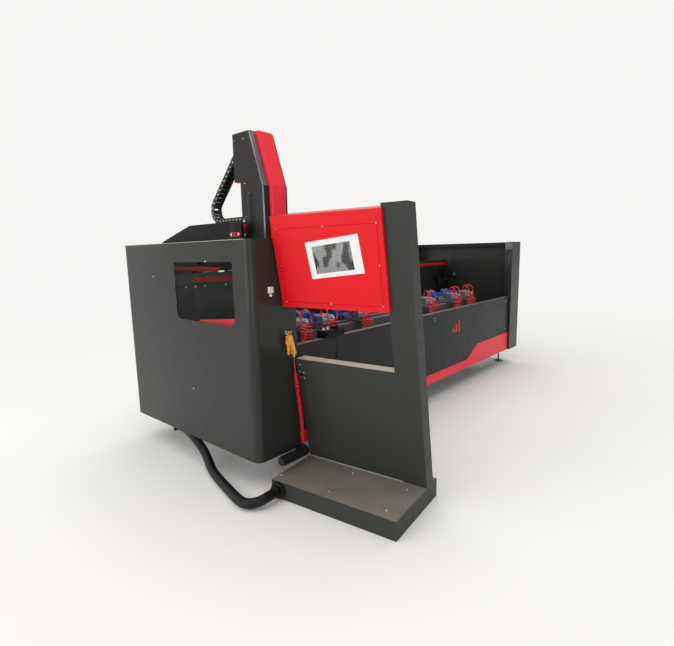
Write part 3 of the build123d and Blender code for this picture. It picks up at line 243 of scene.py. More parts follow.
def plastic(name, tone, shade, rough, grain=1200.0, depth=0.1, coat=0.0, gloss=0.5):
    """Moulded plastic or rubber with a fine grain and handled, shinier spots."""
    material, tree, shader = new_finish(name)
    rounded = soft_edge(tree, 0.0012)[0]
    clouds = remap(tree, noise(tree, scale=16, detail=4), 0.35, 0.7)
    colour = blend_colour(tree, clouds, tint(*tone), tint(*shade))
    sheen = remap(tree, noise(tree, scale=30, detail=4), 0.3, 0.7, rough - 0.06, rough + 0.1)
    show(tree, shader, colour, sheen)
    shader.inputs["Specular IOR Level"].default_value = gloss
    shader.inputs["Coat Weight"].default_value = coat
    shader.inputs["Coat Roughness"].default_value = 0.15
    relief(tree, shader, noise(tree, scale=grain, detail=2), depth, 0.0004, rounded)
    return material


def pane(name, tone, clear, rough):
    """Tinted clear sheet with smears that show in its gloss."""
    material, tree, shader = new_finish(name)
    smear = noise(tree, scale=5, detail=6, stretch=(1, 0.6, 2.2))
    colour = blend_colour(tree, remap(tree, smear, 0.35, 0.7, 0, 0.5), tint(*tone), tint(176, 184, 180))
    show(tree, shader, colour, remap(tree, smear, 0.3, 0.75, rough, rough + 0.03))
    shader.inputs["Transmission Weight"].default_value = clear
    shader.inputs["IOR"].default_value = 1.1
    relief(tree, shader, noise(tree, scale=2.5, detail=3), 0.05, 0.002)
    return material


# Finishes named as the record's material slots
paint("guard_paint", (41, 43, 41), (45, 48, 44), 0.38, (122, 122, 116), gloss=0.15, coat=0.25)
paint("front_paint", (37, 43, 46), (47, 48, 46), 0.36, (112, 106, 106), dust_and_top_light=0.45, gloss=0.12)
paint("red_paint", (218, 26, 34), (210, 22, 30), 0.36, (244, 96, 100), 0.3, 0.06, gloss=0.14)
pane("window_pane", (236, 240, 236), 1.0, 0.0)
paint("frame_paint", (26, 27, 29), (32, 33, 34), 0.5, (84, 82, 80), gloss=0.35)
steel("rail_steel", (150, 150, 148), 0.28, (1, 60, 60))
steel("clamp_alloy", (176, 178, 182), 0.34, (50, 1, 50))
# Its pale mauve edges, set strong, are a painted highlight along the column's edges.
paint("column_paint", (45, 43, 42), (49, 47, 46), 0.38, (134, 126, 138), 0.8, gloss=0.16)
paint("hood_paint", (26, 26, 25), (30, 30, 28), 0.4, (110, 110, 106), gloss=0.13)
plastic("chain_plastic", (12, 12, 11), (19, 18, 16), 0.45)
paint("motor_paint", (26, 27, 28), (33, 34, 35), 0.45, (96, 96, 96))
steel("spindle_steel", (182, 180, 176), 0.22, (40, 40, 1))
steel("foot_steel", (140, 140, 138), 0.36, (40, 40, 1))
paint("console_paint", (54, 56, 54), (58, 59, 56), 0.4, (132, 126, 120), dust_and_top_light=0.6, gloss=0.14)
paint("fascia_paint", (34, 36, 39), (40, 42, 45), 0.38, (104, 104, 106))
plastic("screen_glass", (8, 11, 16), (12, 17, 24), 0.12, 400.0, 0.01, 0.6)
plastic("stop_red", (206, 16, 20), (190, 12, 18), 0.3)
plastic("start_green", (24, 132, 56), (18, 116, 48), 0.3)
plastic("knob_black", (18, 18, 19), (26, 26, 27), 0.4)
plastic("knob_white", (226, 226, 224), (210, 210, 208), 0.35)
plastic("pendant_plastic", (13, 13, 14), (20, 20, 21), 0.45, gloss=0.12)
plastic("printed_sheet", (232, 230, 228), (220, 218, 216), 0.5)
plastic("conduit_black", (9, 9, 9), (15, 15, 14), 0.36, 500.0, 0.12, gloss=0.3)
plastic("hose_red", (236, 30, 40), (222, 22, 32), 0.24, 800.0, 0.04, 0.3)
plastic("gun_yellow", (240, 172, 66), (230, 156, 48), 0.36)
plastic("gun_black", (17, 17, 19), (27, 27, 29), 0.4)

# Finishes of small trim, and of nodes that differ from the rest of their slot
trim_blue = plastic("trim_blue", (36, 98, 186), (26, 84, 172), 0.34)
trim_seam = paint("trim_seam", (178, 12, 18), (170, 10, 16), 0.45, (150, 20, 24), gloss=0.1)
# Pale mauve that paints faces as lit: the right guard's corner piece and a strip on the column's slope.
lit_mauve_paint = paint("lit_mauve_paint", (104, 97, 104), (112, 104, 110), 0.36, (190, 186, 194), 0.8)
# The table beam's paint is lighter than its own tone, to lift the shade the beam lies in: painted light.
paint("lit_table_paint", (108, 100, 106), (114, 106, 110), 0.4, (190, 186, 190), 0.8, gloss=0.25)
# A brighter copy of the red paint, painted as lit, used on the column cover, the front band and the window
# wedge.
paint("lit_red_paint", (250, 54, 68), (244, 48, 62), 0.36, (250, 130, 136), 0.4, 0.06, gloss=0.2)
# Console's ledge: top faces lightened in full as painted light from above, less near the floor.
paint(
    "ledge_paint",
    (54, 57, 54),
    (58, 60, 56),
    0.4,
    (132, 126, 120),
    dust_and_top_light=1.0,
    gloss=0.14,
    dust_and_top_light_tone=(196, 186, 174),
    low_share=0.36,
)
vent_paint = paint("vent_paint", (50, 48, 46), (54, 52, 50), 0.38, (54, 52, 50), 0, 0, gloss=0.16)
# Pale paint for thin strips laid along edges as a painted highlight.
edge_highlight_paint = paint("edge_highlight_paint", (150, 148, 140), (164, 162, 154), 0.4, (200, 198, 190))
trim_screw = steel("trim_screw", (206, 206, 204), 0.3, (30, 30, 30))
trim_dark = paint("trim_dark", (20, 20, 21), (24, 24, 25), 0.5, (60, 60, 60), gloss=0.3)
special = {
    "table_beam": "lit_table_paint",
    "column_cover": "lit_red_paint",
    "front_band": "lit_red_paint",
    "console_stand": "ledge_paint",
    "gun_trigger": "gun_yellow",
}
for row in frame["record"]["subparts"]:
    node = frame["nodes"][row["node"]]
    for slot in node.material_slots:
        slot.material = finishes[special.get(row["node"], row["material_slot"])]

# Making pieces by hand


def take(*objects):
    """Selects only these objects and makes the first one active."""
    bpy.ops.object.select_all(action="DESELECT")
    for piece in objects:
        piece.select_set(True)
    bpy.context.view_layer.objects.active = objects[0]


def settle(piece):
    """Puts a piece's place and size into its mesh."""
    take(piece)
    bpy.ops.object.transform_apply(location=True, rotation=True, scale=True)


@contextmanager
def editing():
    """Edit mode for the lines inside."""
    bpy.ops.object.mode_set(mode="EDIT")
    yield
    bpy.ops.object.mode_set(mode="OBJECT")


def choose(piece, test):
    """In edit mode, selects the faces that pass a test, and nothing else."""
    shape = bmesh.from_edit_mesh(piece.data)
    for face in shape.faces:
        face.select_set(False)
    for face in shape.faces:
        face.select_set(test(face))
    bmesh.update_edit_mesh(piece.data)


def block(name, low, high, edge):
    """A block between two corners, with its edges rounded."""
    low, high = Vector(low), Vector(high)
    bpy.ops.mesh.primitive_cube_add(size=1, location=(low + high) / 2)
    piece = bpy.context.object
    piece.name = name
    piece.scale = high - low
    settle(piece)
    with editing():
        bpy.ops.mesh.select_all(action="SELECT")
        bpy.ops.mesh.bevel(offset=edge, segments=2, affect="EDGES")
    return piece


def rod(name, start, end, radius, edge, sides=20):
    """A round bar between two points, with its rims rounded."""
    start, end = Vector(start), Vector(end)
    turn = (end - start).to_track_quat("Z", "Y").to_euler()
    bpy.ops.mesh.primitive_cylinder_add(
        vertices=sides, radius=radius, depth=(end - start).length, location=(start + end) / 2, rotation=turn
    )
    piece = bpy.context.object
    piece.name = name
    settle(piece)
    with editing():
        bpy.ops.mesh.select_mode(type="FACE")
        choose(piece, lambda face: len(face.verts) > 4)
        bpy.ops.mesh.bevel(offset=edge, segments=2, affect="EDGES")
    return piece


def joined(name, pieces):
    """Several pieces as one mesh."""
    take(*pieces)
    if len(pieces) > 1:
        bpy.ops.object.join()
    whole = bpy.context.object
    whole.name = name
    whole.data.name = name
    return whole


def copied(piece, matrix):
    """A copy of a piece with its own mesh, moved into place."""
    twin = piece.copy()
    twin.data = piece.data.copy()
    twin.data.transform(matrix)
    bpy.context.collection.objects.link(twin)
    return twin


def wear(piece, finish, slot):
    """Gives a new piece its finish and smooth shading. Its slot is not used."""
    piece.data.materials.clear()
    piece.data.materials.append(finish)
    if piece.type == "MESH":
        take(piece)
        bpy.ops.object.shade_smooth_by_angle(angle=radians(35))
    return piece


def fix(piece, body, slot, finish=None):
    """Finishes a piece and lets it ride on a body."""
    wear(piece, finish or finishes[slot], slot)
    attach(piece, body)


# Cords


def line_object(name, points):
    """One smooth open line with the given control points."""
    data = bpy.data.curves.new(name, "CURVE")
    data.dimensions = "3D"
    spline = data.splines.new("NURBS")
    spline.points.add(len(points) - 1)
    for control, place in zip(spline.points, points):
        control.co = (*place, 1)
    spline.order_u = 3
    spline.use_endpoint_u = True
    piece = bpy.data.objects.new(name, data)
    bpy.context.collection.objects.link(piece)
    return piece


def line_points(piece, resolution):
    """The points that a line passes through."""
    piece.data.resolution_u = resolution
    bpy.context.view_layer.update()
    mesh = bpy.data.meshes.new_from_object(piece)
    points = [vertex.co.copy() for vertex in mesh.vertices]
    bpy.data.meshes.remove(mesh)
    return points


def route_points(route):
    """The points of the smooth line that a route's points control."""
    line = line_object("route", route)
    points = line_points(line, 12)
    bpy.data.objects.remove(line)
    return points


def line_length(points):
    """Length of a run of points."""
    return sum((b - a).length for a, b in zip(points, points[1:]))


def even_points(points, count):
    """The same line with its points evenly spaced."""
    total = line_length(points)
    spaced = [points[0]]
    walked = 0.0
    for a, b in zip(points, points[1:]):
        step = (b - a).length
        while len(spaced) < count - 1 and walked + step >= total * len(spaced) / (count - 1):
            spaced.append(a.lerp(b, (total * len(spaced) / (count - 1) - walked) / step))
        walked += step
    spaced.append(points[-1])
    return spaced


def curled(points, turns, radius, curl_from, curl_to, ease, per_turn=12):
    """Winds a line round itself between two shares of its length, easing in and out."""
    wound = []
    count = int(turns * per_turn / (curl_to - curl_from))
    middle = even_points(points, count + 1)
    side = None
    for index, place in enumerate(middle):
        ahead = (middle[min(index + 1, count)] - middle[max(index - 1, 0)]).normalized()
        side = ahead.orthogonal() if side is None else side - ahead * side.dot(ahead)
        side.normalize()
        share = (index / count - curl_from) / (curl_to - curl_from)
        swell = max(0.0, min(1.0, share / ease, (1 - share) / ease))
        swell = swell * swell * (3 - 2 * swell)
        angle = 2 * pi * turns * share
        wound.append(place + radius * swell * (side * cos(angle) + ahead.cross(side) * sin(angle)))
    return wound


def thick(piece, diameter, sides, resolution):
    """Gives a line its round body."""
    piece.data.bevel_depth = diameter / 2
    piece.data.bevel_resolution = sides
    piece.data.resolution_u = resolution
    piece.data.use_fill_caps = True
    return piece


# Conduit from the bed to the console
conduit_diameter = 0.058
console_turn = radians(6.8)
console_right = Vector((cos(console_turn), sin(console_turn), 0))
console_away = Vector((sin(console_turn), -cos(console_turn), 0))
console_corner = spot(0.049, -0.052, 0)
gland_away = 0.06
gland_z = 0.058
gland_length = 0.036
gland_middle = console_corner + console_away * gland_away + Vector((0, 0, gland_z))
conduit_end = gland_middle - console_right * gland_length
conduit_route = [
    spot(0.050, 0.972, 0.195),
    spot(0.050, 0.895, 0.195),
    spot(0.045, 0.815, 0.178),
    spot(0.035, 0.728, 0.147),
    spot(0.026, 0.640, 0.112),
    spot(0.000, 0.545, 0.072),
    spot(-0.035, 0.455, 0.041),
    spot(-0.068, 0.330, 0.031),
    spot(-0.100, 0.200, 0.0305),
    spot(-0.135, 0.062, 0.030),
    spot(-0.150, -0.025, 0.033),
    spot(-0.138, -0.072, 0.039),
    spot(-0.105, -0.109, 0.048),
    conduit_end - console_right * 0.080,
    conduit_end,
]
console_hose = thick(line_object("console_hose_tube", conduit_route), conduit_diameter, 8, 12)
fix(console_hose, "machine", "conduit_black")
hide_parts("console_hose")

# Ribs of the conduit: one ring, copied along it
rib_half = 0.0032
rib_height = 0.0009
rib_edge = 0.0014
rib_count = 96
rib = rod("conduit_rib", (0, 0, -rib_half), (0, 0, rib_half), conduit_diameter / 2 + rib_height, rib_edge, 24)
rib_line = even_points(route_points(conduit_route), rib_count + 2)
ribs = []
for before, place, after in zip(rib_line, rib_line[1:], rib_line[2:]):
    turn = (after - before).to_track_quat("Z", "Y").to_matrix().to_4x4()
    ribs.append(copied(rib, Matrix.Translation(place) @ turn))
bpy.data.objects.remove(rib)
conduit_ribs = joined("console_hose_ribs", ribs)
fix(conduit_ribs, "machine", "conduit_black")


def curly_cord(node, slot, route, diameter, coil, turns, curl_from, curl_to, ease, sides):
    """A curled cord in a node's place, hanging from the first point of its route."""
    points = curled(route_points(route), turns, (coil - diameter) / 2, curl_from, curl_to, ease)
    curl = thick(line_object(f"{node}_curl", points), diameter, sides, 2)
    fix(curl, "machine", slot)
    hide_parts(node)


# Curly lead of the hand pendant: plain at the top, curled below
lead_route = [
    spot(0.656, 0.007, 0.895),
    spot(0.656, -0.019, 0.895),
    spot(0.655, -0.048, 0.887),
    spot(0.652, -0.070, 0.868),
    spot(0.648, -0.080, 0.840),
    spot(0.643, -0.081, 0.804),
    spot(0.637, -0.072, 0.752),
    spot(0.627, -0.053, 0.683),
    spot(0.616, -0.032, 0.612),
    spot(0.606, -0.014, 0.560),
    spot(0.600, -0.006, 0.515),
    spot(0.600, -0.006, 0.470),
]
curly_cord(
    "pendant_lead",
    "pendant_plastic",
    lead_route,
    diameter=0.0045,
    coil=0.016,
    turns=34,
    curl_from=0.28,
    curl_to=0.95,
    ease=0.08,
    sides=2,
)

# Curly air hose of the gun
gun_route = [
    spot(0.291, -0.032, 0.8175),
    spot(0.292, -0.033, 0.750),
    spot(0.298, -0.039, 0.650),
    spot(0.309, -0.043, 0.540),
    spot(0.320, -0.046, 0.430),
    spot(0.327, -0.046, 0.320),
    spot(0.327, -0.046, 0.236),
]
curly_cord(
    "gun_hose",
    "hose_red",
    gun_route,
    diameter=0.0065,
    coil=0.028,
    turns=42,
    curl_from=0.16,
    curl_to=0.97,
    ease=0.05,
    sides=3,
)

# Twin air hoses of each clamp: from two ports over to a coil, wound together down its length
clamp_tube = 0.0095
coil_half_x = 0.052
coil_half_y = 0.038
coil_height = 0.262
clamp_turns = 6
turn_steps = 14
foot_lift = 0.012
port_half = 0.036
port_inset = 0.092
port_z = 0.998
lead_rows = (
    (port_half, 0, 0),
    (0.037, 0, 0.034),
    (0.040, -0.018, 0.058),
    (0.045, -0.048, 0.056),
    (0.050, -0.076, 0.024),
)
clamp_xs = []
for number in range(1, 7):
    low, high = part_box(f"clamp_{number}_carriage")
    clamp_xs.append((low.x + high.x) / 2)
low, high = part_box("clamp_hoses")
coil_y = (low.y + high.y) / 2
coil_foot = low.z
coil_head = coil_foot + coil_height
port_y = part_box("clamp_1_carriage")[0].y + port_inset
for number, clamp_x in enumerate(clamp_xs, 1):
    for side, phase in ((-1, 0.0), (1, pi)):
        lead_in = [(clamp_x + side * x, port_y + y, port_z + z) for x, y, z in lead_rows]
        lead_in.append((clamp_x + side * 0.0525, coil_y - 0.001, port_z - 0.014))
        lead_in.append((clamp_x + side * coil_half_x, coil_y, coil_head + foot_lift))
        winding = []
        for step in range(clamp_turns * turn_steps + 1):
            share = step / (clamp_turns * turn_steps)
            angle = phase + pi + 2 * pi * clamp_turns * share
            slack = 0.97 - 0.06 * sin(2 * pi * share + number) - 0.1 * share
            sway = 0.004 * sin(number * 1.7) * sin(pi * share)
            winding.append(
                (
                    clamp_x + coil_half_x * slack * cos(angle) + sway,
                    coil_y - 0.003 + coil_half_y * slack * sin(angle),
                    coil_head + (coil_foot + foot_lift - coil_head) * share,
                )
            )
        ends = winding[-1]
        lead_out = [(ends[0], ends[1] + 0.004, coil_foot + 0.004), (ends[0], ends[1] + 0.006, coil_foot)]
        strand_points = [Vector(p) for p in lead_in + winding + lead_out]
        label = f"clamp_{number}_hose_{'left' if side < 0 else 'right'}"
        strand = line_object(label, strand_points)
        path = line_points(strand, 2)
        thick(strand, clamp_tube, 2, 2)
        take(strand)
        bpy.ops.object.convert(target="MESH")
        strand = bpy.context.object
        wear(strand, finishes["hose_red"], "hose_red")
        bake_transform(strand)
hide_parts("clamp_hoses")

# Energy chain: one link, copied along its path from the hood, round the bend and up to the column
chain_low, chain_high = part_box("energy_chain")
chain_x = (chain_low.x + chain_high.x) / 2
chain_half = 0.020
plate_thickness = 0.006
lap_thickness = 0.004
bar_half = 0.011
bar_height = 0.005
link_gap = 0.0007
pin_z = 0.004
pin_radius = 0.0052
chain_width = 0.070
chain_flat = 0.295
chain_bend = 0.085
chain_count = 23
chain_z = chain_low.z + chain_half
bend_y = chain_low.y + chain_flat
bend_z = chain_z + chain_bend
chain_end = spot(0.470, 0.635, 2.149)
rise_length = sqrt(hypot(chain_end.y - bend_y, chain_end.z - bend_z) ** 2 - chain_bend**2)
chain_rise = atan2(chain_end.z - bend_z, chain_end.y - bend_y) + atan2(chain_bend, rise_length)
chain_pitch = (chain_flat + chain_bend * chain_rise + rise_length) / chain_count


def chain_place(s):
    """Matrix of the chain's middle line, a length s from its fixed end."""
    heading = max(0.0, min((s - chain_flat) / chain_bend, chain_rise))
    flat = min(s, chain_flat)
    rest = max(s - chain_flat - chain_bend * chain_rise, 0.0)
    y = chain_low.y + flat + chain_bend * sin(heading) + rest * cos(heading)
    z = bend_z - chain_bend * cos(heading) + rest * sin(heading)
    return Matrix.Translation((chain_x, y, z)) @ Matrix.Rotation(heading, 4, "X")


half_link = chain_pitch / 2
link_parts = []
for side in (-1, 1):
    outer = side * chain_width / 2
    inner = outer - side * plate_thickness
    low = (min(outer, inner), -half_link + link_gap, -chain_half)
    high = (max(outer, inner), half_link - link_gap, chain_half)
    link_parts.append(block("link_plate", low, high, 0.0022))
    lap = inner - side * lap_thickness
    low = (min(inner, lap), half_link - 0.012, -chain_half + 0.004)
    high = (max(inner, lap), half_link + 0.010, chain_half - 0.006)
    link_parts.append(block("link_lap", low, high, 0.0015))
for height in (-chain_half, chain_half - bar_height):
    low = (-chain_width / 2 + lap_thickness, -bar_half, height)
    high = (chain_width / 2 - lap_thickness, bar_half, height + bar_height)
    link_parts.append(block("link_bar", low, high, 0.0016))
link = joined("chain_link", link_parts)
pin_parts = []
for side in (-1, 1):
    start = (side * (chain_width / 2 - 0.001), -half_link + bar_half, pin_z)
    end = (side * (chain_width / 2 + 0.0012), -half_link + bar_half, pin_z)
    pin_parts.append(rod("link_pin", start, end, pin_radius, 0.0006, 12))
pin = joined("chain_pin", pin_parts)
links = [copied(link, chain_place((n + 0.5) * chain_pitch)) for n in range(chain_count)]
pins = [copied(pin, chain_place((n + 0.5) * chain_pitch)) for n in range(chain_count)]
bpy.data.objects.remove(link)
bpy.data.objects.remove(pin)
chain_links = wear(joined("energy_chain_links", links), finishes["chain_plastic"], "chain_plastic")
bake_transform(chain_links)
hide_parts("energy_chain")
chain_pins = wear(joined("energy_chain_pins", pins), finishes["knob_white"], "knob_white")
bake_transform(chain_pins)

# Frames for small trim: a local x and y on a face, with z out of it
rightward = Vector((1, 0, 0))
frontward = Vector((0, -1, 0))
skyward = Vector((0, 0, 1))
under = -0.001
film = 0.0012


def axes(origin, x_dir, z_dir):
    """Matrix of a face from its origin, its x direction and its outward direction."""
    y_dir = z_dir.cross(x_dir)
    return Matrix.Translation(origin) @ Matrix((x_dir, y_dir, z_dir)).transposed().to_4x4()


def screw_head():
    """A domed screw head of radius 1 with a socket, looking along +Z."""
    bpy.ops.mesh.primitive_cylinder_add(vertices=16, radius=1, depth=0.9, location=(0, 0, 0.3))
    head = bpy.context.object
    settle(head)
    with editing():
        bpy.ops.mesh.select_mode(type="FACE")
        choose(head, lambda face: face.normal.z > 0.9)
        bpy.ops.mesh.bevel(offset=0.3, segments=3, affect="EDGES")
        choose(head, lambda face: face.normal.z > 0.99)
        bpy.ops.mesh.inset(thickness=0.22, depth=0)
        bpy.ops.mesh.inset(thickness=0.05, depth=-0.3)
    return head


def screws(name, face, places, radius, body="machine"):
    """Screw heads at places on a face."""
    size = Matrix.Scale(radius, 4)
    heads = [copied(screw_master, face @ Matrix.Translation((x, y, 0)) @ size) for x, y in places]
    fix(joined(name, heads), body, "rail_steel", trim_screw)


def seat(piece, face, slot, finish=None, body="machine"):
    """Carries a piece made in a face's own directions into place, and finishes it."""
    piece.data.transform(face)
    fix(piece, body, slot, finish)


def slab(name, face, low, high, edge, slot, finish=None, body="machine"):
    """A block with rounded edges, given in a face's own directions."""
    seat(block(name, low, high, edge), face, slot, finish, body)


def strip(name, face, low, high, slot, finish=None, body="machine"):
    """A thin strip on a face, between two corners."""
    slab(name, face, (*low, under), (*high, film), film / 2, slot, finish, body)


def flats(name, face, corners, top, edge, slot, finish=None):
    """Flat blocks on a face as one piece, each between two corners."""
    parts = [block(name, (*low, under), (*high, top), edge) for low, high in corners]
    seat(joined(name, parts), face, slot, finish)


screw_master = screw_head()
left_face = axes(spot(0, 0, 0), frontward, -rightward)
front_face = axes(spot(0, 0, 0), rightward, frontward)
panel_face = axes(spot(0, 0.025, 0), rightward, frontward)
rear_face = axes(spot(0, 1.54, 0), -rightward, -frontward)
right_face = axes(spot(4.34, 0, 0), -frontward, rightward)
cover_face = axes(spot(0, 1.0, 0), rightward, frontward)
hood_face = axes(spot(0.3, 0, 0), frontward, -rightward)
column_face = axes(spot(0.4, 0, 0), frontward, -rightward)

# Guards: a pale strip on the left guard's top edge as a painted highlight, fixing screws, and a latch on the
# left guard's front
sheet_screw = 0.006
low, high = (-1.53, 1.536, under), (-0.035, 1.5397, 0.0008)
slab("left_guard_edge_highlight", left_face, low, high, 0.0004, "guard_paint", edge_highlight_paint)
left_rows = [(-1.097, 1.309), (-0.663, 0.554), (-0.426, 1.414)]
screws("left_guard_screws", left_face, left_rows, sheet_screw)
slab("guard_latch", front_face, (0.127, 1.222, under), (0.165, 1.262, 0.013), 0.004, "knob_white")
latch_catch = rod("guard_latch_catch", spot(0.146, -0.001, 1.211), spot(0.146, -0.010, 1.211), 0.009, 0.002)
fix(latch_catch, "machine", "knob_white")
right_rows = [(y, z) for y in (0.12, 0.77, 1.42) for z in (0.26, 1.48)]
sunk = Matrix.Translation((0, 0, -0.0044))
screws("right_guard_screws", right_face @ sunk, right_rows, sheet_screw)

# Right guard's inside: a seam between its sheets, a hook, a top lip, a flange and a corner piece painted pale
# mauve as lit
inner_face = axes(spot(4.337, 0, 0), frontward, -rightward)
seams = [
    block("seam_up", (-0.936, 1.13, under), (-0.928, 1.47, 0.002), 0.0008),
    block("seam_arm", (-1.02, 1.086, under), (-0.90, 1.096, 0.012), 0.002),
]
seat(joined("right_guard_seams", seams), inner_face, "frame_paint", trim_dark)
hook_parts = [
    rod("hook_peg", spot(4.339, 0.895, 1.105), spot(4.290, 0.895, 1.105), 0.006, 0.0015),
    rod("hook_tip", spot(4.294, 0.895, 1.101), spot(4.294, 0.895, 1.140), 0.006, 0.0015),
]
fix(joined("right_guard_hook", hook_parts), "machine", "foot_steel", trim_screw)
low, high = (-1.535, 1.478, under), (-0.095, 1.5385, 0.036)
slab("right_guard_lip", inner_face, low, high, 0.002, "frame_paint", trim_dark)
post_face = axes(spot(4.033, 0, 0), frontward, -rightward)
low, high = (-0.088, 0.870, under), (-0.002, 1.449, 0.0015)
slab("right_guard_flange", post_face, low, high, 0.0006, "guard_paint")
corner = block("right_guard_corner", (-0.090, 1.449, -0.002), (-0.002, 1.5385, 0.004), 0.001)
with editing():
    choose(corner, lambda face: face.normal.y > 0.9)
    bpy.ops.transform.resize(value=(0.7, 1, 1), center_override=(-0.002, 1.5385, 0))
    choose(corner, lambda face: face.normal.y < -0.9)
    bpy.ops.transform.translate(value=(0, 0, 0.004))
seat(corner, post_face, "guard_paint", lit_mauve_paint)

# Front panel: screws, and a plain red mark of three rising bars
panel_screws = [(2.164, 0.822), (2.164, 0.795), (1.912, 0.707), (1.918, 0.672), (3.95, 0.822), (3.95, 0.47)]
screws("front_panel_screws", panel_face, panel_screws, 0.007)
bars = []
for step in range(3):
    left = 2.535 + 0.062 * step
    bars.append(((left, 0.628), (left + 0.034, 0.675 + 0.035 * step)))
flats("front_panel_mark", panel_face, bars, film, film / 2, "red_paint")

# Rear panel: seams between its sheets and rows of screws
seams = [((-x - 0.003, 0.215), (-x + 0.003, 1.185)) for x in (1.27, 2.19, 3.11)]
flats("rear_panel_seams", rear_face, seams, 0.0002, 0.0001, "frame_paint", trim_dark)
rear_rows = [(-0.46 - 0.435 * n, z) for n in range(9) for z in (0.25, 1.15)]
screws("rear_panel_screws", rear_face @ sunk, rear_rows, sheet_screw)

# Beam cover: a red stripe, a bolted plate and a dark cover at its left end, dark brackets at its right
strip("beam_stripe", cover_face, (0.264, 1.252), (4.265, 1.288), "red_paint")
beam_plate = 0.006
low, high = (0.125, 1.196, under), (0.60, 1.246, beam_plate)
slab("beam_plate", cover_face, low, high, 0.002, "motor_paint")
plate_face = cover_face @ Matrix.Translation((0, 0, beam_plate))
plate_bolts = [(x, 1.221) for x in (0.19, 0.27, 0.35, 0.54)]
screws("beam_plate_bolts", plate_face, plate_bolts, 0.008)
low, high = (0.10, 1.02, under), (0.262, 1.188, 0.005)
slab("beam_dark_cover", cover_face, low, high, 0.002, "frame_paint", trim_dark)
brackets = [
    block("bracket_high", (3.86, 1.06, under), (4.18, 1.225, 0.03), 0.003),
    block("bracket_low", (3.98, 0.92, under), (4.24, 1.065, 0.05), 0.003),
    block("bracket_foot", (4.06, 0.84, under), (4.24, 0.925, 0.065), 0.003),
]
seat(joined("beam_end_brackets", brackets), cover_face, "frame_paint", trim_dark)

# Red wedge of a chip sheet behind the window's lower edge
wedge = block("window_wedge", (-0.555, 1.010, -0.030), (-0.150, 1.074, -0.012), 0.001)
with editing():
    choose(wedge, lambda face: face.calc_center_median().x < -0.554)
    bpy.ops.transform.resize(value=(1, 0.12, 1), center_override=(-0.555, 1.030, -0.02))
seat(wedge, left_face, "red_paint", finishes["lit_red_paint"])


def arrow_marks(label, face, places, low, high, body):
    """White arrow heads at places on a face, each turned its own way, and a red field between them."""
    heads = []
    for x, y, turn in places:
        bpy.ops.mesh.primitive_cylinder_add(vertices=3, radius=0.017, depth=0.0024)
        head = bpy.context.object
        settle(head)
        with editing():
            bpy.ops.mesh.select_all(action="SELECT")
            bpy.ops.mesh.bevel(offset=0.0006, segments=1, affect="EDGES")
        head.data.transform(face @ Matrix.Translation((x, y, 0)) @ Matrix.Rotation(turn, 4, "Z"))
        heads.append(head)
    fix(joined(f"{label}_arrows", heads), body, "knob_white")
    slab(f"{label}_arrow_field", face, (*low, under), (*high, film), 0.0005, "red_paint", body=body)


# Hood: a red strip along its lower edge, a cheek toward the column, a dark rear plate, and plain arrow marks
low, high = (-1.49, 1.338, under), (-0.72, 1.366, 0.004)
slab("hood_strip", hood_face, low, high, 0.0015, "red_paint", body="x_carriage")
low, high = (-0.571, 1.48, -0.003), (-0.442, 1.675, 0)
slab("hood_cheek", hood_face, low, high, 0.001, "hood_paint", body="x_carriage")
rear_plate = block("hood_rear_plate", spot(0.304, 1.478, 1.215), spot(0.746, 1.483, 1.345), 0.001)
fix(rear_plate, "x_carriage", "frame_paint", trim_dark)
hood_arrows = [(-0.557, 1.588, pi / 2), (-0.476, 1.588, -pi / 2)]
arrow_marks("hood", hood_face, hood_arrows, (-0.536, 1.574), (-0.497, 1.602), "x_carriage")
column_arrows = [(-0.535, 1.682, 0), (-0.535, 1.586, pi)]
arrow_marks("column", column_face, column_arrows, (-0.549, 1.606), (-0.521, 1.660), "y_carriage")

# Column: screws, and slanted fins on a plate over its vent
column_screws = [(-0.506, 1.929), (-0.509, 1.707), (-0.60, 2.22), (-0.50, 2.22)]
screws("column_screws", column_face, column_screws, 0.005, "y_carriage")
low, high = (-0.486, 1.588, under), (-0.414, 1.874, 0.0005)
slab("column_vent_plate", column_face, low, high, 0.0002, "column_paint", vent_paint, body="y_carriage")
# The fins are near black, standing for the shade inside the vent's slots: painted shade.
fin_count = 12
fin_pitch = 0.022
fin_slant = Matrix.Rotation(radians(24), 4, "Z")
fins = []
for step in range(fin_count):
    fin = block("vent_fin", (-0.029, -0.0042, 0.0), (0.029, 0.0042, 0.003), 0.001)
    fin.data.transform(Matrix.Translation((-0.450, 1.610 + fin_pitch * step, 0)) @ fin_slant)
    fins.append(fin)
seat(joined("column_vent_shade_fins", fins), column_face, "pendant_plastic", body="y_carriage")

# Column: pale strips on its front edge and slope as painted highlight and painted light, the red underside of
# its rear box, and the chain's upper bracket
slope_run = 0.119
slope_rise = 0.366
knee_z = 1.899
slope = Vector((0, slope_run, slope_rise)).normalized()
slope_out = Vector((0, -slope_rise, slope_run)).normalized()
edge_out = (frontward - rightward).normalized()
edge_face = axes(spot(0.4045, 0.3265, 1.445), skyward.cross(edge_out), edge_out)
slope_edge_out = (slope_out - rightward).normalized()
slope_edge_face = axes(spot(0.4045, 0.3265, knee_z), slope.cross(slope_edge_out), slope_edge_out)
slope_face = axes(spot(0.4, 0.322, knee_z), slope.cross(slope_out), slope_out)
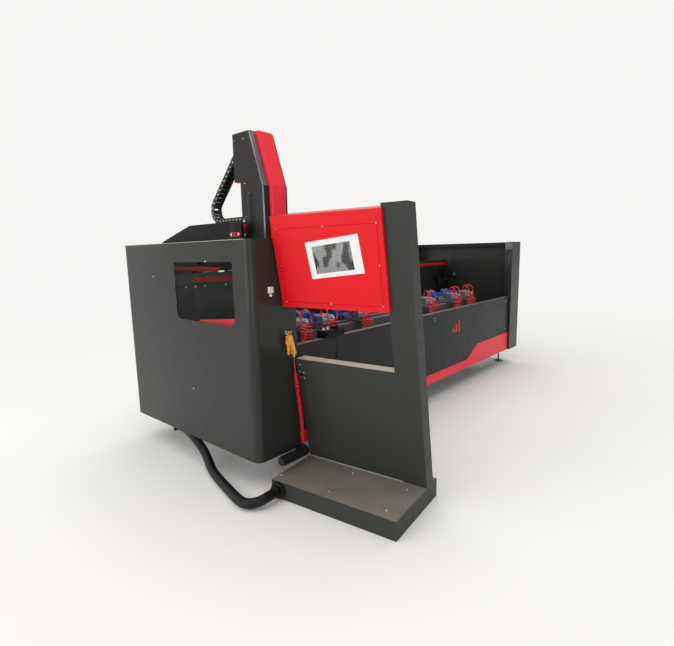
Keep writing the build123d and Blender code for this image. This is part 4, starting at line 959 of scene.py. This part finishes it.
# Bright strips along the column's front edges are a painted highlight; the mauve strip beside the slope's
# edge paints that face as lit.
strip("column_edge_highlight", edge_face, (-0.0045, 0), (0.0045, 0.452), "rail_steel", body="y_carriage")
low, high = (-0.0045, 0.002), (0.0045, 0.380)
strip("column_slope_edge_highlight", slope_edge_face, low, high, "rail_steel", body="y_carriage")
low, high = (0.011, 0.002), (0.050, 0.380)
strip("column_slope_lit_strip", slope_face, low, high, "column_paint", lit_mauve_paint, body="y_carriage")
underside = block("column_underside", spot(0.402, 0.556, 1.945), spot(0.623, 0.618, 1.949), 0.001)
fix(underside, "y_carriage", "red_paint")
low = (chain_x - 0.033, chain_end.y - 0.017, 2.125)
high = (chain_x + 0.033, chain_end.y - 0.001, 2.185)
fix(block("chain_bracket", low, high, 0.003), "y_carriage", "chain_plastic")

# Black brackets over the right feet
feet = []
for y in (0.19, 1.35):
    feet.append(block("foot_bracket", spot(4.13, y - 0.05, 0.150), spot(4.25, y + 0.05, 0.191), 0.004))
fix(joined("right_foot_brackets", feet), "machine", "frame_paint", trim_dark)

# Console: seam and screws of the red tray at its back, and screws of the stand and the plinth
lean = radians(9.66)
plinth_top = 0.109
panel_foot = console_corner + console_right * 0.385 + Vector((0, 0, plinth_top))
back_normal = console_right * -cos(lean) - Vector((0, 0, sin(lean)))
back_face = axes(panel_foot, console_away, back_normal)
tray_face = back_face @ Matrix.Translation((0, 0, 0.0215))
tray_left, tray_right = 0.02, 0.672
tray_low, tray_high = 1.079, 1.507
seam_half = 0.0013
seam_top = 0.0008
seams = [((tray_left, v - seam_half), (tray_right, v + seam_half)) for v in (tray_low, tray_high)]
seams += [((u - seam_half, tray_low), (u + seam_half, tray_high)) for u in (tray_left, tray_right)]
flats("tray_seam", tray_face, seams, seam_top, seam_top / 2, "red_paint", trim_seam)
# A pale strip along the foot of the stand: a painted highlight on that edge.
low, high = (0.003, 0.0005, under), (0.690, 0.006, 0.005)
slab("stand_foot_highlight", back_face, low, high, 0.0012, "rail_steel", edge_highlight_paint)
tray_screws = [(u, v) for u in (tray_left, 0.345, tray_right) for v in (tray_low, tray_high)]
tray_screws += [(u, 1.295) for u in (tray_left, tray_right)]
screws("tray_screws", tray_face, tray_screws, 0.0044)
stand_screws = [(0.028, 0.662), (0.018, 0.613), (0.051, 0.611), (0.049, 0.573), (0.022, 0.578)]
screws("stand_screws", back_face, stand_screws, 0.005)
stand_socket = rod("stand_socket", (0.035, 0.594, under), (0.035, 0.594, 0.006), 0.011, 0.002)
seat(stand_socket, back_face, "knob_black")
plinth_face = axes(console_corner + Vector((0, 0, plinth_top)), console_right, skyward)
plinth_screws = [(r, -a) for r in (0.066, 0.317) for a in (0.022, 0.383, 0.747)]
screws("plinth_screws", plinth_face, plinth_screws, 0.008)

# Print on the notice: a grey field of soft shapes inside a white border
sheet_face = tray_face @ Matrix.Translation((0.397, 1.339, 0.001)) @ Matrix.Rotation(radians(6), 4, "Z")
print_finish, print_tree, print_shader = new_finish("notice_print")
shapes = remap(print_tree, noise(print_tree, scale=17, detail=5, stretch=(1, 1, 0.6)), 0.46, 0.54)
grain = remap(print_tree, noise(print_tree, scale=90, detail=3), 0.35, 0.65, 0, 0.5)
print_colour = blend_colour(print_tree, shapes, tint(34, 34, 35), tint(150, 150, 149))
print_colour = blend_colour(print_tree, grain, print_colour, tint(92, 92, 92))
print_sheen = remap(print_tree, noise(print_tree, scale=40, detail=2), 0.3, 0.7, 0.4, 0.55)
show(print_tree, print_shader, print_colour, print_sheen)
low, high = (-0.135, -0.078, -0.0004), (0.118, 0.074, 0.0004)
slab("notice_print_field", sheet_face, low, high, 0.0002, "printed_sheet", print_finish)

# Operator's face: screen frame, keys under the screen, key field and button rings
box_low, box_high = 1.139, 1.665
box_depth = 0.155
box_u = 0.3465
box_v = ((box_low + box_high) / 2 - plinth_top) / cos(lean)
fascia_middle = back_face @ Vector((box_u, box_v, -box_depth))
fascia_face = axes(fascia_middle, -console_away, -back_normal)
frame_bars = (
    ((-0.288, -0.113), (-0.270, 0.223)),
    ((0.130, -0.113), (0.148, 0.223)),
    ((-0.288, -0.113), (0.148, -0.095)),
    ((-0.288, 0.205), (0.148, 0.223)),
)
flats("screen_frame", fascia_face, frame_bars, 0.004, 0.0015, "knob_black")


def key_field(name, left, bottom, columns, rows, pitch, size, slot):
    """A field of keys with dished tops on the operator's face."""
    keys = []
    for column in range(columns):
        for row in range(rows):
            low = (left + column * pitch[0], bottom + row * pitch[1], under)
            high = (low[0] + size[0], low[1] + size[1], 0.0045)
            key = block("key", low, high, 0.0014)
            with editing():
                choose(key, lambda face: face.normal.z > 0.99)
                bpy.ops.mesh.inset(thickness=0.0025, depth=-0.0006)
            keys.append(key)
    seat(joined(name, keys), fascia_face, slot)


key_field("screen_keys", -0.262, -0.142, 8, 1, (0.049, 0.024), (0.040, 0.018), "knob_white")
key_field("pad_keys", 0.172, -0.03, 4, 7, (0.036, 0.036), (0.029, 0.029), "knob_white")
key_field("axis_keys", -0.29, -0.225, 6, 2, (0.040, 0.034), (0.032, 0.026), "pendant_plastic")
button_row_v = -0.165
rings = []
for u, outer in ((0.25, 0.027), (0.15, 0.018), (0.06, 0.021)):
    start, end = (u, button_row_v, under), (u, button_row_v, 0.0025)
    ring = rod("button_ring", start, end, outer + 0.0025, 0.0008, 28)
    with editing():
        choose(ring, lambda face: face.normal.z > 0.99)
        bpy.ops.mesh.inset(thickness=0.004, depth=0)
        bpy.ops.mesh.inset(thickness=0.0004, depth=-0.0024)
    rings.append(ring)
seat(joined("button_rings", rings), fascia_face, "rail_steel")

# Ring and collar on the console's gland
start, end = gland_middle - console_right * 0.004, gland_middle - console_right * 0.020
fix(rod("gland_ring", start, end, 0.050, 0.004, 28), "machine", "conduit_black")
start, end = conduit_end + console_right * 0.010, conduit_end - console_right * 0.012
fix(rod("gland_collar", start, end, 0.035, 0.004, 28), "machine", "conduit_black")

# Clamps: blue pads and cheeks, port fittings, bolts and black stops, made once and copied to each clamp
clamp_blue = [
    block("fixed_pad", (-0.056, 0.4925, 0.943), (0.056, 0.496, 0.984), 0.001),
    block("front_pad", (-0.060, 0.2335, 0.905), (0.060, 0.236, 0.922), 0.001),
    block("fixed_cap", (-0.060, 0.507, 0.989), (0.060, 0.543, 0.996), 0.002),
]
clamp_metal = [rod("hose_tee", (0, 0.1785, 0.969), (0, 0.192, 0.969), 0.011, 0.002, 6)]
clamp_red = []
clamp_black = [rod("clamp_knob", (0.052, 0.2335, 0.914), (0.052, 0.206, 0.914), 0.0095, 0.002)]
bolt_size = Matrix.Scale(0.0055, 4)
for side in (-1, 1):
    low, high = (side * 0.035 - 0.012, 0.312, 0.937), (side * 0.035 + 0.012, 0.493, 0.9402)
    clamp_blue.append(block("rest_pad", low, high, 0.0008))
    low, high = sorted((side * 0.0612, side * 0.0638))
    clamp_blue.append(block("jaw_cheek", (low, 0.430, 0.908), (high, 0.540, 0.984), 0.001))
    port = (side * port_half, 0.275)
    clamp_metal.append(rod("port_base", (*port, 0.982), (*port, 0.989), 0.009, 0.001, 6))
    clamp_red.append(rod("port_collar", (*port, 0.988), (*port, 0.999), 0.0075, 0.0015, 16))
    start, end = (side * 0.060, 0.405, 0.915), (side * 0.068, 0.405, 0.915)
    clamp_black.append(rod("clamp_stop", start, end, 0.011, 0.002))
    for y, z in ((0.250, 0.983), (0.300, 0.983), (0.525, 0.996)):
        clamp_metal.append(copied(screw_master, Matrix.Translation((side * 0.048, y, z)) @ bolt_size))
jaw_blue = [block("jaw_pad", (-0.054, 0.3495, 0.944), (0.054, 0.3525, 0.982), 0.001)]
clamp_sets = (
    ("pads", clamp_blue, "clamp", "clamp_alloy", trim_blue),
    ("metal", clamp_metal, "clamp", "clamp_alloy", trim_screw),
    ("collars", clamp_red, "clamp", "hose_red", None),
    ("stops", clamp_black, "clamp", "knob_black", None),
    ("jaw_pad", jaw_blue, "jaw", "clamp_alloy", trim_blue),
)
for label, parts, body, slot, finish in clamp_sets:
    master = joined(f"clamp_{label}", parts)
    for number, clamp_x in enumerate(clamp_xs, 1):
        twin = copied(master, Matrix.Translation((clamp_x, front_y, 0)))
        twin.name = f"clamp_{number}_{label}"
        fix(twin, f"{body}_{number}", slot, finish)
    bpy.data.objects.remove(master)
bpy.data.objects.remove(screw_master)

# Camera at the photograph's place and angle
camera_place = Vector((-3.7815, -2.37805, 1.45))
camera_yaw = 0.7168
camera_pitch = 0.1535
camera_roll = 0.0212
camera_lens = 24.213
ahead = Vector((cos(camera_pitch) * cos(camera_yaw), cos(camera_pitch) * sin(camera_yaw), -sin(camera_pitch)))
level = Vector((sin(camera_yaw), -cos(camera_yaw), 0))
down = ahead.cross(level)
across = level * cos(camera_roll) + down * sin(camera_roll)
below = down * cos(camera_roll) - level * sin(camera_roll)
camera_data = bpy.data.cameras.new("photo_camera")
camera_data.lens = camera_lens
camera_data.sensor_width = 36.0
camera_data.sensor_fit = "HORIZONTAL"
camera_data.clip_end = 100.0
camera = bpy.data.objects.new("photo_camera", camera_data)
bpy.context.collection.objects.link(camera)
camera_turn = Matrix((across, -below, -ahead)).transposed().to_4x4()
camera.matrix_world = Matrix.Translation(camera_place) @ camera_turn
bpy.context.scene.camera = camera

# Pale floor that fades into the backdrop, and soft studio light
pale = (0.915, 0.905, 0.89, 1)
bpy.ops.mesh.primitive_plane_add(size=60, location=(0, 0, -0.0005))
floor = bpy.context.object
floor.name = "studio_floor"
floor_finish, floor_tree, floor_shader = new_finish("studio_floor")
floor_shader.inputs["Roughness"].default_value = 0.9
floor_shader.inputs["Specular IOR Level"].default_value = 0.0
floor_tone = remap(floor_tree, noise(floor_tree, scale=0.8, detail=2), 0.3, 0.7)
floor_colour = blend_colour(floor_tree, floor_tone, tint(240, 239, 237), tint(242, 241, 239))
floor_spread = floor_tree.nodes.new("ShaderNodeVectorMath")
floor_spread.operation = "LENGTH"
floor_tree.links.new(object_place(floor_tree), floor_spread.inputs[0])
floor_far = remap(floor_tree, floor_spread.outputs["Value"], 3.8, 8.5)
floor_colour = blend_colour(floor_tree, floor_far, floor_colour, (0, 0, 0, 1))
floor_tree.links.new(floor_colour, floor_shader.inputs["Base Color"])
floor_shader.inputs["Emission Color"].default_value = pale
floor_tree.links.new(floor_far, floor_shader.inputs["Emission Strength"])
floor.data.materials.append(floor_finish)

world = bpy.data.worlds.new("studio")
bpy.context.scene.world = world
world.use_nodes = True
world_tree = world.node_tree
sky = world_tree.nodes["Background"]
sky.inputs["Strength"].default_value = 1.0
heading = world_tree.nodes.new("ShaderNodeTexCoord")
facing = world_tree.nodes.new("ShaderNodeVectorMath")
facing.operation = "DOT_PRODUCT"
facing.inputs[1].default_value = (0.2, -0.98, 0.0)
world_tree.links.new(heading.outputs["Generated"], facing.inputs[0])
dimmed = remap(world_tree, facing.outputs["Value"], 0.15, 0.75)
sky_colour = blend_colour(world_tree, dimmed, pale, (0.3, 0.305, 0.315, 1))
height = world_tree.nodes.new("ShaderNodeSeparateXYZ")
world_tree.links.new(heading.outputs["Generated"], height.inputs[0])
overhead = remap(world_tree, height.outputs["Z"], 0.55, 0.9)
sky_colour = blend_colour(world_tree, overhead, sky_colour, (1.25, 1.24, 1.22, 1))
rays = world_tree.nodes.new("ShaderNodeLightPath")
sky_colour = blend_colour(world_tree, rays.outputs["Is Camera Ray"], sky_colour, pale)
world_tree.links.new(sky_colour, sky.inputs["Color"])


def softbox(name, place, aim, size, power):
    """An area light that looks at a point."""
    data = bpy.data.lights.new(name, "AREA")
    data.shape = "RECTANGLE"
    data.size, data.size_y = size
    data.energy = power
    lamp = bpy.data.objects.new(name, data)
    bpy.context.collection.objects.link(lamp)
    turn = (Vector(aim) - Vector(place)).to_track_quat("-Z", "Y")
    lamp.matrix_world = Matrix.Translation(place) @ turn.to_matrix().to_4x4()


softbox("overhead_light", (-1.0, -0.5, 7.5), (-0.6, 0.0, 0.0), (9.0, 9.0), 60.0)
softbox("side_light", (-8.0, 1.5, 2.2), (-2.0, 0.6, 0.6), (4.0, 4.0), 110.0)
softbox("strip_light", (-5.0, -4.6, 1.7), (-2.17, -0.33, 0.9), (0.8, 3.2), 34.0)
bpy.context.scene.view_settings.view_transform = "Standard"
